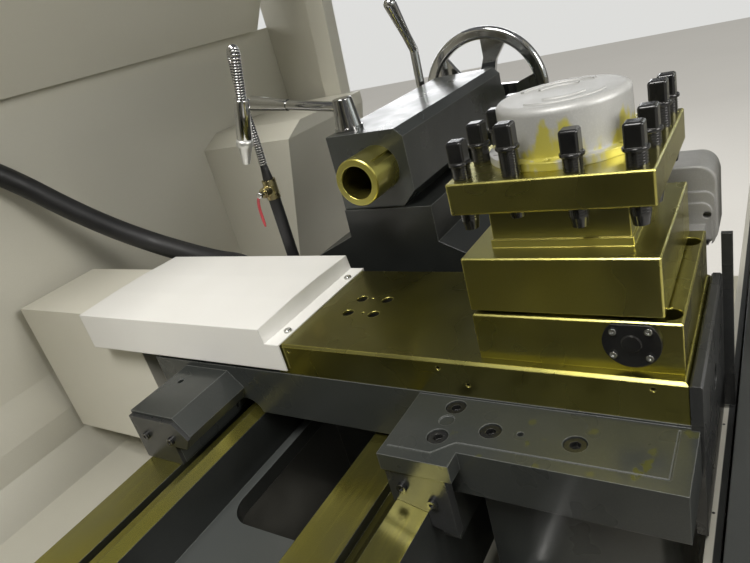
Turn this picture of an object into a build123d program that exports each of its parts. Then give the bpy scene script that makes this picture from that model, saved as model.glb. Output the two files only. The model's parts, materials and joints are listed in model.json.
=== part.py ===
from build123d import *
import os
from math import hypot, pi, radians, tan

# A flat-bed turning machine. X runs along the bed towards the tailstock, Y away from the
# operator and Z up. The origin is on the floor, under the middle of the whole outline.

# Whole outline
length = 2400.0
depth = 1450.0
height = 1780.0
sheet = 3.0
slip = 0.05
soft_gap = 0.3

# Bed and its ways
way_z = 794.0
centre_height = 279.0
spindle_y = -69.0
bed_left = -length / 2 + 200.0
bed_right = length / 2 - 70.0
bed_bottom = 404.0
bed_wall = 34.0
floor_drop = 69.0
floor_thick = 25.0
front_v_outer = 222.0
front_v_apex = 185.0
front_v_foot = 166.0
front_v_rise = 19.0
front_v_outer_rise = 9.0
front_flat_outer = 148.0
front_flat_inner = 85.0
rear_v_inner = 117.0
rear_v_width = 35.0
rear_v_rise = 12.0
rear_v_top = 11.0
rear_flat_inner = 171.0
rear_flat_outer = 236.0
groove_deep = 14.0
window_start = 3.0
window_length = 330.0
window_pitch = 430.0
window_corner = 40.0
window_margin = 15.0
arch_sill = 20.0
arch_top = 630.0

# Cabinets, feet and coolant tank
cabinet_top = 400.0
foot_height = 45.0
foot_radius = 28.0
stud_radius = 8.0
cabinet_rear = 330.0
cabinet_wall = 5.0
head_cabinet_long = 650.0
tail_cabinet_long = 580.0
head_cabinet_right = bed_left + head_cabinet_long
tail_cabinet_left = bed_right - tail_cabinet_long
vent_slots = 9
vent_pitch = 18.0
vent_half = 150.0
vent_opening = 7.0
tank_height = 200.0
tank_rear = 480.0

# Headstock, spindle and chuck
head_length = 400.0
head_right = bed_left + head_length
head_wall = 40.0
head_side = 28.0
head_top = 250.0
head_front = 216.0
head_rear = 229.0
bearing_radius = 88.0
spindle_radius = 55.0
spindle_bore = 41.0
nose_radius = 85.0
nose_thick = 20.0
chuck_radius = 125.0
chuck_length = 95.0
chuck_bore = 40.0
jaw_width = 30.0
jaw_height = 34.0
jaw_stroke = 12.0
jaw_front = 45.0
pulley_width = 50.0
spindle_pulley_radius = 105.0
motor_pulley_radius = 70.0
belt_thick = 10.0
motor_axis_z = 210.0
motor_radius = 120.0
motor_length = 330.0
motor_shaft_radius = 21.0
motor_fins = 16

# Toolpost, slide and carriage
turret_x = 250.0
turret_y = -425.0
slide_top = 930.0
slide_thick = 47.0
slide_half = 111.0
slide_front = 114.5
slide_rear = 400.0
slide_edge = 3.0
dovetail_half = 55.0
dovetail_height = 20.0
dovetail_flare = 10.0
beam_half = 112.0
beam_bottom = 804.0
beam_rear = 670.0
beam_front_bearing = 40.0
channel_half = 30.0
screw_x_z = 862.0
screw_x_radius = 12.5
nut_half = 24.0
nut_long = 100.0
bracket_half = 60.0
bracket_long = 75.0
wing_top = 880.0
wing_thick = 56.0
wing_half = 200.0
wing_reach = 220.0
wing_front = 123.0
wing_step = 330.0
wing_lug_thick = 22.0
leg_bottom = 749.0
leg_thick = 20.0
rear_wing_top = 874.0
rear_wing_step = 827.0
rear_wing_half = 226.0
rear_wing_rear = 600.0
rear_wing_nose = 487.0
wiper_thick = 6.0
wiper_bottom = 775.0
wiper_front = 103.0
bolt_head = 11.0
bolt_shank = 6.0
bolt_sink = 1.5
bolt_room = 1.0
groove_width = 2.0
groove_sink = 1.0
apron_half = 150.0
apron_bottom = 560.0
apron_front = 105.0
apron_back = 100.0
plate_thick = 11.0
plate_fold = 11.5
plate_top = 931.0
plate_bottom = 745.0

# Ball screw along the bed
screw_z_y = -360.0
screw_z_z = 625.0
screw_z_radius = 20.0
screw_z_left = head_right + 10.0
screw_z_right = bed_right - 60.0
nut_radius = 32.0
servo = 130.0
servo_length = 190.0

# Toolpost
base_height = 55.6
base_gap = 4.0
base_near = 97.5
base_far = 111.0
base_front = 111.0
base_rear = 94.7
block_side = 192.0
slab_height = 61.8
neck_side = 135.8
neck_height = 48.3
plate_height = 33.0
post_radius = 30.0
cap_radius = 65.0
cap_flange = 78.0
cap_height = 47.0
cap_flange_height = 8.0
cap_round = 7.0
worm_y = -66.0
worm_z = 34.0
disc_radius = 27.0
disc_thick = 4.0
clamp_offset = 83.0
clamp_head = 17.0
clamp_head_height = 22.0
clamp_collar = 11.5
clamp_radius = 9.0
clamp_tip = 7.2
clamp_down = 20.0
clamp_up = 14.0
turret_motor_near = 140.0
turret_motor_case = 58.0
turret_motor_long = 140.0
turret_motor_half = 59.0
turret_motor_top = 121.0
turret_motor_bottom = 18.0
turret_motor_round = 22.0
turret_motor_y = -62.0
bolt_places = [(-80, -98), (-80, 82), (80, -98), (80, 82)]

# White cover behind the slide and housing of the cross motor
cover_half = 115.0
cover_sheet = 2.0
cover_low = 890.0
cover_shoulder = 955.0
cover_top = 958.0
cover_flat = 33.0
cover_rear = 830.0
cover_lip = 18.0
cover_step = 7.0
cover_slope = 3.0
housing_half = 88.0
housing_front = 745.0
housing_rear = 1085.0
housing_bottom = 650.0
housing_top = 940.0

# Tailstock
tail_x = turret_x + 190.0
tail_base_long = 400.0
tail_long = 432.0
tail_half = 56.0
tail_boss = 86.0
tail_top = 59.0
tail_drop = 67.0
quill_radius = 37.5
quill_mouth = 26.5
quill_back = 15.0
quill_nose = tail_x - 68.0
quill_long = 400.0
quill_stroke = 120.0
lead_radius = 12.0
wheel_radius = 125.0
wheel_rim = 13.0
wheel_rim_half = 9.0
wheel_x = tail_x + 480.0
wheel_hub = 28.0
wheel_spokes = 5
lock_x = tail_x + 40.0
lock_y = -6.0
lock_hub = 22.0
lock_hub_top = 16.0
lock_pad = 24.0
lever_x = tail_x + 414.0
lever_y = 45.0

# Guards
guard_post_depth = 25.0
wall_inner = depth / 2 - guard_post_depth - sheet
wall_top = 1318.0
guard_foot = 408.0
guard_right = length / 2 - sheet
canopy_lean = 32.0
canopy_lip = 35.0
canopy_right = length / 2 - 90.0
post_width = 40.0
guard_front = -depth / 2 + 85.0
sill_inner = guard_front + 70.0
sill_top = 800.0
cabinet_front = sill_inner + 90.0
tray_lip_y = sill_inner + 22.0
tray_lip_z = 735.0
tray_left = screw_z_left
corner_box_long = 357.0
corner_box_gap = 50.0
door_gap = 20.0
door_width = length / 3
door_left = length / 2 - door_gap - door_width
door_front = guard_front - 50.0
door_thick = 25.0
rail_low = 60.0
handle_low = 1150.0
handle_long = 300.0
handle_inset = 25.0

# Coolant pipe
pipe_x = turret_x + 150.0
hose_radius = 10.5
nozzle_radius = 12.0

# Conduit between the carriage and the rear wall
conduit_radius = 21.0
gland_x = pipe_x
gland_y = 214.0
gland_z = 802.0
conduit_end_y = wall_inner - 25.0
conduit_route = [
    (gland_x, gland_y, gland_z), (400, 214, 858), (399, 240, 911), (397, 284, 945), (393, 341, 957),
    (388, 412, 969), (377, 486, 991), (352, 548, 1028), (314, 604, 1088), (272, 646, 1156),
    (222, 670, 1216), (164, 674, 1252), (106, conduit_end_y, 1264), (54, conduit_end_y, 1264),
]

spindle_z = way_z + centre_height
slide_z0 = slide_top - slide_thick
slide_y0 = turret_y - slide_front
slide_y1 = turret_y + slide_rear


def block(x0, x1, y0, y1, z0, z1):
    """A box between two opposite corners."""
    return Pos(x0, y0, z0) * Box(x1 - x0, y1 - y0, z1 - z0, align=(Align.MIN,) * 3)


def rod(axis, start, radius, span):
    """A cylinder from its start point along one axis."""
    way = {"x": (1, 0, 0), "y": (0, 1, 0), "z": (0, 0, 1)}[axis]
    return Plane(origin=start, z_dir=way) * Cylinder(
        radius, span, align=(Align.CENTER, Align.CENTER, Align.MIN)
    )


def limb(start, end, radius, end_radius=None):
    """A round bar between two points, straight or tapered."""
    reach = Vector(*end) - Vector(*start)
    plane = Plane(origin=start, z_dir=reach)
    low = (Align.CENTER, Align.CENTER, Align.MIN)
    if end_radius is None:
        return plane * Cylinder(radius, reach.length, align=low)
    return plane * Cone(radius, end_radius, reach.length, align=low)


def along_x(points, x0, x1):
    """A prism along X whose outline is given as (y, z) points."""
    face = Plane(origin=(x0, 0, 0), x_dir=(0, 1, 0), z_dir=(1, 0, 0)) * make_face(
        Polyline(*points, close=True)
    )
    return extrude(face, amount=x1 - x0, dir=(1, 0, 0))


def along_y(points, y0, y1):
    """A prism along Y whose outline is given as (x, z) points."""
    face = Plane(origin=(0, y0, 0), x_dir=(1, 0, 0), z_dir=(0, -1, 0)) * make_face(
        Polyline(*points, close=True)
    )
    return extrude(face, amount=y1 - y0, dir=(0, 1, 0))


def along_z(points, z0, z1):
    """A prism along Z whose outline is given as (x, y) points."""
    face = Plane.XY.offset(z0) * make_face(Polyline(*points, close=True))
    return extrude(face, amount=z1 - z0, dir=(0, 0, 1))


def shell(x0, x1, y0, y1, z0, z1, wall):
    """A closed sheet box."""
    inner = block(x0 + wall, x1 - wall, y0 + wall, y1 - wall, z0 + wall, z1 - wall)
    return block(x0, x1, y0, y1, z0, z1) - inner


def folded(points, thick):
    """The closed outline of a bent sheet: the given line and its mitred offset to the left."""
    normals = []
    for (a, b), (c, d) in zip(points, points[1:]):
        run = hypot(c - a, d - b)
        normals.append((-(d - b) / run, (c - a) / run))
    back = []
    for i, (a, b) in enumerate(points):
        m = normals[max(i - 1, 0)]
        n = normals[min(i, len(normals) - 1)]
        scale = thick / (1 + m[0] * n[0] + m[1] * n[1])
        back.append((a + (m[0] + n[0]) * scale, b + (m[1] + n[1]) * scale))
    return points + back[::-1]


def together(solids):
    """Separate solids kept in one group."""
    return Compound(children=[s.solid() for s in solids])


def socket_bolt(x, y, z, head, shank, reach):
    """A socket-head screw standing on its shank, its head's top face at z."""
    screw = rod("z", (x, y, z - head), head, head)
    screw += rod("z", (x, y, z - head - reach), shank, reach)
    hexagon = Plane(origin=(x, y, z - head * 0.6)) * RegularPolygon(head * 0.55, 6)
    return screw - extrude(hexagon, amount=head)


def front_way_cut(clear):
    """The space that the front V way takes from a piece that rides on it."""
    y0 = spindle_y - front_v_outer
    return [
        (y0 - clear, way_z - 300),
        (y0 - clear, way_z + front_v_outer_rise + clear),
        (spindle_y - front_v_apex, way_z + front_v_rise + clear),
        (spindle_y - front_v_foot + clear, way_z),
        (spindle_y - front_v_foot + clear, way_z - 300),
    ]


def rear_way_cut(clear):
    """The space that the rear V way takes from a piece that rides on it."""
    y0 = spindle_y + rear_v_inner
    slope = (rear_v_width - rear_v_top) / 2
    return [
        (y0 - clear, way_z - 300),
        (y0 - clear, way_z),
        (y0 + slope - clear, way_z + rear_v_rise + clear),
        (y0 + slope + rear_v_top + clear, way_z + rear_v_rise + clear),
        (y0 + rear_v_width + clear, way_z),
        (y0 + rear_v_width + clear, way_z - 300),
    ]


def bed_parts():
    front = spindle_y - front_v_outer
    rear = spindle_y + rear_flat_outer
    v0 = spindle_y + rear_v_inner
    slope = (rear_v_width - rear_v_top) / 2
    floor = way_z - floor_drop
    inner_front = spindle_y - front_flat_inner
    section = [
        (front, bed_bottom),
        (front, way_z + front_v_outer_rise),
        (spindle_y - front_v_apex, way_z + front_v_rise),
        (spindle_y - front_v_foot, way_z),
        (spindle_y - front_v_foot, way_z - groove_deep),
        (spindle_y - front_flat_outer, way_z - groove_deep),
        (spindle_y - front_flat_outer, way_z),
        (inner_front, way_z),
        (inner_front, floor),
        (v0, floor),
        (v0, way_z),
        (v0 + slope, way_z + rear_v_rise),
        (v0 + slope + rear_v_top, way_z + rear_v_rise),
        (v0 + rear_v_width, way_z),
        (v0 + rear_v_width, way_z - groove_deep),
        (spindle_y + rear_flat_inner, way_z - groove_deep),
        (spindle_y + rear_flat_inner, way_z),
        (rear, way_z),
        (rear, bed_bottom),
    ]
    bed = along_x(section, bed_left, bed_right)
    window_y = (inner_front + v0) / 2
    window_width = v0 - inner_front - 2 * window_margin
    rib = (window_pitch - window_length) / 2 - window_margin
    for i in (-1, 0, 1):
        start = window_start + i * window_pitch
        middle = start + window_length / 2
        hole = Plane(origin=(middle, window_y, floor - floor_thick - 1)) * RectangleRounded(
            window_length, window_width, window_corner
        )
        bed -= extrude(hole, amount=floor_thick + 2)
        bed -= block(
            start - rib, start + window_length + rib,
            front + bed_wall, rear - bed_wall, bed_bottom - 1, floor - floor_thick,
        )
        bed -= block(
            start, start + window_length, front - 1, front + bed_wall + 1, bed_bottom + arch_sill, arch_top
        )
    head_cavity = block(
        bed_left + 2 * bed_wall, window_start - window_pitch - 2 * rib,
        front + bed_wall, rear - bed_wall, bed_bottom - 1, floor - floor_thick,
    )
    tail_cavity = block(
        window_start + window_pitch + window_length + 2 * rib, bed_right - bed_wall,
        front + bed_wall, rear - bed_wall, bed_bottom - 1, floor - floor_thick,
    )
    return {"bed": bed - head_cavity - tail_cavity}


def base_parts():
    shaft_y = spindle_y
    left, right = bed_left, bed_right
    head_box = shell(
        left, head_cabinet_right, cabinet_front, cabinet_rear, foot_height, cabinet_top, cabinet_wall
    )
    head_box -= rod("x", (left - 1, shaft_y, motor_axis_z), motor_shaft_radius * 2, cabinet_wall + 2)
    middle_x = (left + head_cabinet_right) / 2
    for i in range(vent_slots):
        z = (foot_height + cabinet_top) / 2 + (i - (vent_slots - 1) / 2) * vent_pitch
        head_box -= block(
            middle_x - vent_half, middle_x + vent_half,
            cabinet_rear - cabinet_wall - 1, cabinet_rear + 1, z, z + vent_opening,
        )
    tail_box = shell(
        tail_cabinet_left, right, cabinet_front, cabinet_rear, foot_height, cabinet_top, cabinet_wall
    )
    feet = []
    inset = 60.0
    for x0, x1 in ((left, head_cabinet_right), (tail_cabinet_left, right)):
        for x in (x0 + inset, x1 - inset):
            for y in (cabinet_front + inset, cabinet_rear - inset):
                foot = rod("z", (x, y, 0), foot_radius, foot_height / 3)
                feet.append(foot + rod("z", (x, y, foot_height / 3), stud_radius, foot_height * 2 / 3))
    tank = shell(
        head_cabinet_right, tail_cabinet_left, cabinet_front + 20, tank_rear, 0, tank_height, sheet
    )
    pump_x = tail_cabinet_left - 110
    pump_y = tank_rear - 90
    pump_hole = 45.0
    tank += rod("z", (pump_x, pump_y, tank_height), 62, 12)
    tank += rod("z", (pump_x, pump_y, tank_height + 12), 50, 118)
    tank += rod("z", (pump_x, pump_y, tank_height - 150), pump_hole, 160)
    tank += rod("z", (pump_x, pump_y, tank_height + 130), 42, 12)
    return {
        "headstock_cabinet": head_box,
        "tailstock_cabinet": tail_box,
        "levelling_feet": together(feet),
        "coolant_tank": tank,
    }


def drive_parts():
    z1 = spindle_z + head_top
    y0, y1 = spindle_y - head_front, spindle_y + head_rear
    head = block(bed_left, head_right, y0, y1, way_z, z1)
    head = fillet(head.edges().filter_by(Axis.X).group_by(Axis.Z)[-1], 16)
    head -= block(
        bed_left + head_wall, head_right - head_wall, y0 + head_side, y1 - head_side,
        way_z + 2 * head_side, z1 - head_side,
    )
    head -= rod("x", (bed_left - 1, spindle_y, spindle_z), bearing_radius, head_length + 2)
    head -= along_x(front_way_cut(0), bed_left - 1, head_right + 1)
    head -= along_x(rear_way_cut(0), bed_left - 1, head_right + 1)
    bearings = []
    for x in (bed_left, head_right - head_wall):
        ring = rod("x", (x, spindle_y, spindle_z), bearing_radius, head_wall)
        bearings.append(ring - rod("x", (x - 1, spindle_y, spindle_z), spindle_radius + slip, head_wall + 2))
    pulley_x = bed_left - 20 - pulley_width
    spindle_left = pulley_x - 15
    journal = spindle_radius - 8
    spindle = rod("x", (spindle_left, spindle_y, spindle_z), journal, bed_left - 5 - spindle_left)
    spindle += rod("x", (bed_left - 5, spindle_y, spindle_z), spindle_radius, head_length + 6)
    spindle += rod("x", (head_right + 1, spindle_y, spindle_z), nose_radius, nose_thick)
    pulley = rod("x", (pulley_x, spindle_y, spindle_z), spindle_pulley_radius, pulley_width)
    for side in (pulley_x - 4, pulley_x + pulley_width):
        pulley += rod("x", (side, spindle_y, spindle_z), spindle_pulley_radius + belt_thick, 4)
    spindle += pulley
    spindle -= rod("x", (spindle_left - 1, spindle_y, spindle_z), spindle_bore, 2 * head_length)
    motor_left = bed_left + cabinet_wall + 45
    motor = rod("x", (motor_left, spindle_y, motor_axis_z), motor_radius - 12, motor_length)
    for i in range(motor_fins):
        angle = 360 / motor_fins * (i + 0.5)
        fin = block(motor_left + 40, motor_left + motor_length - 30, -3, 3, motor_radius - 20, motor_radius)
        motor += Pos(0, spindle_y, motor_axis_z) * Rot(X=angle) * fin
    motor += block(
        motor_left + 50, motor_left + motor_length - 60,
        spindle_y - motor_radius, spindle_y + motor_radius,
        foot_height + cabinet_wall, motor_axis_z - motor_radius * 0.7,
    )
    motor -= rod("x", (motor_left - 1, spindle_y, motor_axis_z), motor_shaft_radius + slip, 120)
    small = rod("x", (pulley_x, spindle_y, motor_axis_z), motor_pulley_radius, pulley_width)
    for side in (pulley_x - 4, pulley_x + pulley_width):
        small += rod("x", (side, spindle_y, motor_axis_z), motor_pulley_radius + belt_thick, 4)
    small += rod(
        "x", (pulley_x - 5, spindle_y, motor_axis_z), motor_shaft_radius, motor_left + 110 - pulley_x
    )
    reach = spindle_z - motor_axis_z
    top_r, low_r = spindle_pulley_radius + soft_gap, motor_pulley_radius + soft_gap
    lean = (top_r - low_r) / reach
    belt_x = pulley_x + 1
    belt = belt_loop(reach, top_r + belt_thick, low_r + belt_thick, lean, belt_x, pulley_width - 2)
    belt -= belt_loop(reach, top_r, low_r, lean, belt_x - 1, pulley_width)
    cover_x0, cover_y = -length / 2 + sheet, 190.0
    guard = shell(
        cover_x0, bed_left, spindle_y - cover_y, spindle_y + cover_y, motor_axis_z - 150,
        spindle_z + 170, sheet,
    )
    guard -= block(
        bed_left - 2 * sheet, bed_left + 1, spindle_y - 140, spindle_y + 140,
        motor_axis_z - 110, spindle_z + 135,
    )
    guard -= rod("x", (cover_x0 - 1, spindle_y, spindle_z), spindle_radius, 2 * sheet)
    return {
        "headstock": head,
        "spindle_bearings": together(bearings),
        "spindle": spindle,
        "main_motor": motor,
        "motor_pulley": small,
        "drive_belt": belt,
        "pulley_cover": guard,
    }


def belt_loop(reach, top, low, lean, x, width):
    """The filled outline of a belt round two pulleys that stand one above the other."""
    flat = (1 - lean * lean) ** 0.5
    points = [
        (spindle_y + top * flat, spindle_z - top * lean),
        (spindle_y + low * flat, spindle_z - reach - low * lean),
        (spindle_y - low * flat, spindle_z - reach - low * lean),
        (spindle_y - top * flat, spindle_z - top * lean),
    ]
    loop = along_x(points, x, x + width)
    loop += rod("x", (x, spindle_y, spindle_z), top, width)
    return loop + rod("x", (x, spindle_y, spindle_z - reach), low, width)


def chuck_parts():
    x0 = head_right + 1 + nose_thick
    x1 = x0 + chuck_length
    body = rod("x", (x0, spindle_y, spindle_z), chuck_radius, chuck_length)
    body = chamfer(body.edges().filter_by(GeomType.CIRCLE), 3)
    body -= rod("x", (x0 - 1, spindle_y, spindle_z), chuck_bore, chuck_length + 2)
    parts = {}
    slot_depth = 30.0
    for i in range(3):
        turn = Pos(0, spindle_y, spindle_z) * Rot(X=120 * i)
        slot = block(
            x1 - slot_depth, x1 + 1, -jaw_width / 2 - slip, jaw_width / 2 + slip,
            chuck_bore - 10, chuck_radius + 5,
        )
        body -= turn * slot
        inner = chuck_bore + jaw_stroke + 1
        foot, half = x1 - slot_depth + slip, jaw_width / 2
        jaw = block(foot, x1 + jaw_front, -half, half, inner, inner + jaw_height)
        jaw += block(foot, x1 + jaw_front / 2, -half, half, inner, inner + jaw_height * 1.8)
        parts[f"chuck_jaw_{i + 1}"] = turn * jaw
    return {"chuck_body": body, **parts}


def dovetail(grow):
    """The outline of the slide's dovetail as (x, z) points."""
    z0, z1 = slide_z0, slide_z0 + dovetail_height
    low, high = dovetail_half + grow, dovetail_half + dovetail_flare + grow
    return [
        (turret_x - low, z0 - 1), (turret_x - low, z0), (turret_x - high, z1 + grow),
        (turret_x + high, z1 + grow), (turret_x + low, z0), (turret_x + low, z0 - 1),
    ]


def saddle_parts():
    y0, y1 = slide_y0, turret_y + beam_rear
    saddle = block(turret_x - beam_half, turret_x + beam_half, y0 - 1, y1, beam_bottom, slide_z0)
    saddle += along_y(dovetail(0), y0, y1)
    front_y0 = turret_y - wing_front
    front_y1 = spindle_y - front_v_foot - 12
    waist = spindle_y - wing_step + 71
    wing = [
        (-wing_half - 5, front_y1), (-wing_half + 2, waist), (-wing_half, front_y0),
        (wing_half, front_y0), (wing_half - 2, waist), (wing_half + 5, front_y1),
    ]
    saddle += along_z([(turret_x + x, y) for x, y in wing], wing_top - wing_thick, wing_top)
    saddle += block(
        turret_x - wing_reach, turret_x + wing_reach, waist - 4, front_y1, wing_top - wing_lug_thick, wing_top
    )
    leg_y = spindle_y - front_v_outer - leg_thick
    guide = along_x(
        [
            (leg_y, leg_bottom), (leg_y, wing_top - wing_thick), (front_y1, wing_top - wing_thick),
            (front_y1, way_z + 2), (spindle_y - front_v_outer, way_z + 2),
            (spindle_y - front_v_outer - slip, leg_bottom),
        ],
        turret_x - wing_half + 2, turret_x + wing_half - 2,
    )
    saddle += guide
    low_rear = spindle_y + rear_flat_inner - 5
    rear_y1 = turret_y + rear_wing_rear
    nose_y = turret_y + rear_wing_nose
    saddle += along_x(
        [
            (nose_y + 10, rear_wing_step), (nose_y, rear_wing_top - 28), (nose_y + 23, rear_wing_top),
            (rear_y1, rear_wing_top), (rear_y1, rear_wing_step),
        ],
        turret_x - rear_wing_half, turret_x + rear_wing_half,
    )
    saddle += block(
        turret_x - rear_wing_half, turret_x + rear_wing_half, low_rear, rear_y1, way_z + slip, rear_wing_step
    )
    bracket_y1 = y1 + bracket_long
    saddle += block(
        turret_x - bracket_half, turret_x + bracket_half, y1, bracket_y1,
        beam_bottom, slide_z0 + dovetail_height,
    )
    gland_low = gland_z - 14
    saddle += block(gland_x - 70, gland_x + 32, gland_y - 26, gland_y + 26, gland_low - 22, gland_low)
    saddle += block(
        gland_x - 70, turret_x + beam_half, gland_y - 26, gland_y + 26, gland_low, beam_bottom
    )
    saddle += rod("z", (gland_x, gland_y, gland_low), 28, 14)
    saddle -= block(
        turret_x - channel_half, turret_x + channel_half, y0 + beam_front_bearing, y1,
        screw_x_z - 18, slide_z0 + dovetail_height + 1,
    )
    saddle -= rod("y", (turret_x, y0 - 2, screw_x_z), screw_x_radius + slip, bracket_y1 - y0 + 3)
    saddle -= block(
        turret_x - 115 - slip, turret_x + base_far, front_y0 - 1, y0 - 1, leg_bottom, slide_z0
    )
    saddle -= along_x(front_way_cut(slip), turret_x - 300, turret_x + 300)
    arch_y = spindle_y + rear_v_inner + rear_v_width / 2
    saddle -= rod("x", (turret_x - 300, arch_y, way_z + 6), 26, 600)
    bolts = []
    seat = wing_top - bolt_sink - bolt_head
    for side in (1, -1):
        for x, y in [(-128, 123), (-179, 123), (-158, 70), (-158, -18)]:
            place = (turret_x + side * x, turret_y + y)
            saddle -= rod("z", (*place, seat), bolt_head + bolt_room, bolt_head + bolt_sink + 1)
            saddle -= rod("z", (*place, seat - 40), bolt_shank, 41)
            bolts.append(socket_bolt(*place, wing_top - bolt_sink, bolt_head, bolt_shank, 34))
        saddle -= rod("z", (turret_x - side * 152, turret_y + 124, wing_top - 2), 9, 3)
        saddle -= rod("z", (turret_x - side * 156, turret_y + 38, wing_top - 12), 3.5, 13)
        saddle -= wing_groove(side)
    saddle -= rod("z", (turret_x - 150, turret_y + 573, rear_wing_top - 8), 5, 9)
    return {"saddle": saddle, "carriage_screws": together(bolts + wiper_screws())}


def wing_groove(side):
    """The shallow engraved line that runs round the bolts on a front wing's top."""
    line = [(-205, 172), (-205, 120), (-184, 99), (-184, -106), (-117, -106)]
    spots = [(turret_x - side * x, turret_y + y) for x, y in line]
    groove = []
    for (x0, y0), (x1, y1) in zip(spots, spots[1:]):
        run = hypot(x1 - x0, y1 - y0)
        across = ((y0 - y1) / run * groove_width / 2, (x1 - x0) / run * groove_width / 2)
        strip = [
            (x0 + across[0], y0 + across[1]), (x1 + across[0], y1 + across[1]),
            (x1 - across[0], y1 - across[1]), (x0 - across[0], y0 - across[1]),
        ]
        groove.append(along_z(strip, wing_top - groove_sink, wing_top + 1))
    return groove


def wiper_parts():
    wipers = []
    top, low = rear_wing_top - 5, way_z + soft_gap
    nose_y, rear_y = turret_y + rear_wing_nose, turret_y + rear_wing_rear
    foot_y = spindle_y + rear_flat_inner - 5
    rear = [
        (nose_y + 10, rear_wing_step), (nose_y, rear_wing_top - 30), (nose_y + 21, top),
        (rear_y, top), (rear_y, low), (foot_y, low), (foot_y, rear_wing_step),
    ]
    y_out, y_in = turret_y + wiper_front, spindle_y - front_v_foot - 14
    lug_low = wing_top - wing_lug_thick
    front = along_x(
        [(y_out, wiper_bottom), (y_out, lug_low), (y_in, lug_low), (y_in, way_z + 2)],
        3 - wing_reach, -wing_half - 5,
    ) - along_x(front_way_cut(soft_gap), -wing_reach - 1, -wing_half)
    for side in (-1, 1):
        x0 = turret_x + side * rear_wing_half - (wiper_thick if side < 0 else 0)
        wipers.append(along_x(rear, x0, x0 + wiper_thick))
        wipers.append(Pos(turret_x, 0, 0) * (front if side < 0 else mirror(front, about=Plane.YZ)))
    return {"way_wipers": together(wipers)}


def wiper_screws():
    """The small socket screws of the wipers, on the outer face of each."""
    screws = []
    for side in (-1, 1):
        for y in (576, 523):
            place = (turret_y + y, rear_wing_top - 36)
            screws.append(round_screw(turret_x + side * (rear_wing_half + wiper_thick), *place, side))
        for y, down in ((158, 45), (124, 60)):
            place = (turret_y + y, wing_top - down)
            screws.append(round_screw(turret_x + side * (wing_reach - 3), *place, side))
    return screws


def round_screw(x, y, z, side):
    """A small socket screw whose head stands on a face at x, pointing out along side."""
    head = rod("x", (x if side > 0 else x - 5, y, z), 6, 5)
    pocket = rod("x", (x + 3 if side > 0 else x - 6, y, z), 2.8, 3)
    return head - pocket


def apron_parts():
    y0, y1 = turret_y - apron_front, turret_y + apron_back
    apron = block(
        turret_x - apron_half, turret_x + apron_half, y0, y1, apron_bottom, wing_top - wing_thick
    )
    apron = fillet(apron.edges().filter_by(Axis.Z).group_by(Axis.Y)[0], 20)
    hollow = block(
        turret_x - apron_half + 14, turret_x + apron_half - 14, y0 + 14, screw_z_y - nut_radius - 10,
        apron_bottom + 14, wing_top - wing_thick - 14,
    )
    apron -= hollow
    nut_x = turret_x - apron_half - 14
    apron += rod("x", (nut_x, screw_z_y, screw_z_z), nut_radius + 12, 14)
    apron += rod("x", (nut_x + 14, screw_z_y, screw_z_z), nut_radius, 2 * apron_half)
    apron -= rod("x", (nut_x - 1, screw_z_y, screw_z_z), screw_z_radius + slip, 3 * apron_half)
    apron -= block(
        turret_x - beam_half, turret_x + beam_half, y0 - 1, y1 + 1, beam_bottom, wing_top - wing_thick + 1
    )
    return {"apron": apron}


def plate_parts():
    """The dark plate over the carriage's front, with a taller leg folded forward at its far end."""
    y1 = slide_y0 - 1
    x1 = turret_x + base_far - soft_gap
    plate = block(turret_x - 115, x1, y1 - plate_thick, y1, plate_bottom, plate_top)
    plate = chamfer(plate.edges().filter_by(Axis.X).group_by(Axis.Z)[-1], 2)
    plate -= rod("y", (turret_x, y1 - plate_thick - 1, screw_x_z), screw_x_radius + 2, plate_thick + 2)
    fold_y = y1 - plate_thick
    plate += block(x1 - 6, x1, fold_y - plate_fold, fold_y, plate_bottom, slide_top + 54)
    return {"front_plate": plate}


def screw_parts():
    long_screw = rod(
        "x", (screw_z_left, screw_z_y, screw_z_z), screw_z_radius, screw_z_right - screw_z_left
    )
    left_x, right_x, thick = screw_z_left - 10, screw_z_right, 40.0
    bed_face = spindle_y - front_v_outer
    brackets = []
    for x in (left_x, right_x - thick):
        piece = block(x, x + thick, screw_z_y - 60, bed_face, screw_z_z - 60, screw_z_z + 60)
        bore = screw_z_radius + slip
        brackets.append(piece - rod("x", (x - 1, screw_z_y, screw_z_z), bore, thick + 2))
    motor_x = left_x - servo_length
    half = servo / 2
    z_motor = block(
        motor_x, left_x - 12, screw_z_y - half + 6, screw_z_y + half - 6,
        screw_z_z - half + 6, screw_z_z + half - 6,
    )
    z_motor = fillet(z_motor.edges().filter_by(Axis.X), 10)
    z_motor += block(
        left_x - 12, left_x, screw_z_y - half, screw_z_y + half, screw_z_z - half, screw_z_z + half
    )
    z_motor -= rod("x", (left_x - 30, screw_z_y, screw_z_z), screw_z_radius + slip, 40)
    y_front = slide_y0 + 5
    y_rear = turret_y + beam_rear + bracket_long
    cross_screw = rod("y", (turret_x, y_front, screw_x_z), screw_x_radius, y_rear - y_front)
    motor_y = y_rear + cover_sheet
    x_motor = block(
        turret_x - 50, turret_x + 50, motor_y + 12, motor_y + servo_length, screw_x_z - 50, screw_x_z + 50
    )
    x_motor = fillet(x_motor.edges().filter_by(Axis.Y), 8)
    x_motor += block(turret_x - 56, turret_x + 56, motor_y, motor_y + 12, screw_x_z - 56, screw_x_z + 56)
    housing = shell(
        turret_x - housing_half, turret_x + housing_half, turret_y + housing_front,
        turret_y + housing_rear, housing_bottom, housing_top, cover_sheet,
    )
    return {
        "bed_screw": long_screw,
        "bed_screw_brackets": together(brackets),
        "bed_motor": z_motor,
        "cross_screw": cross_screw,
        "cross_motor": x_motor,
        "motor_housing": housing,
    }


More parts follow.
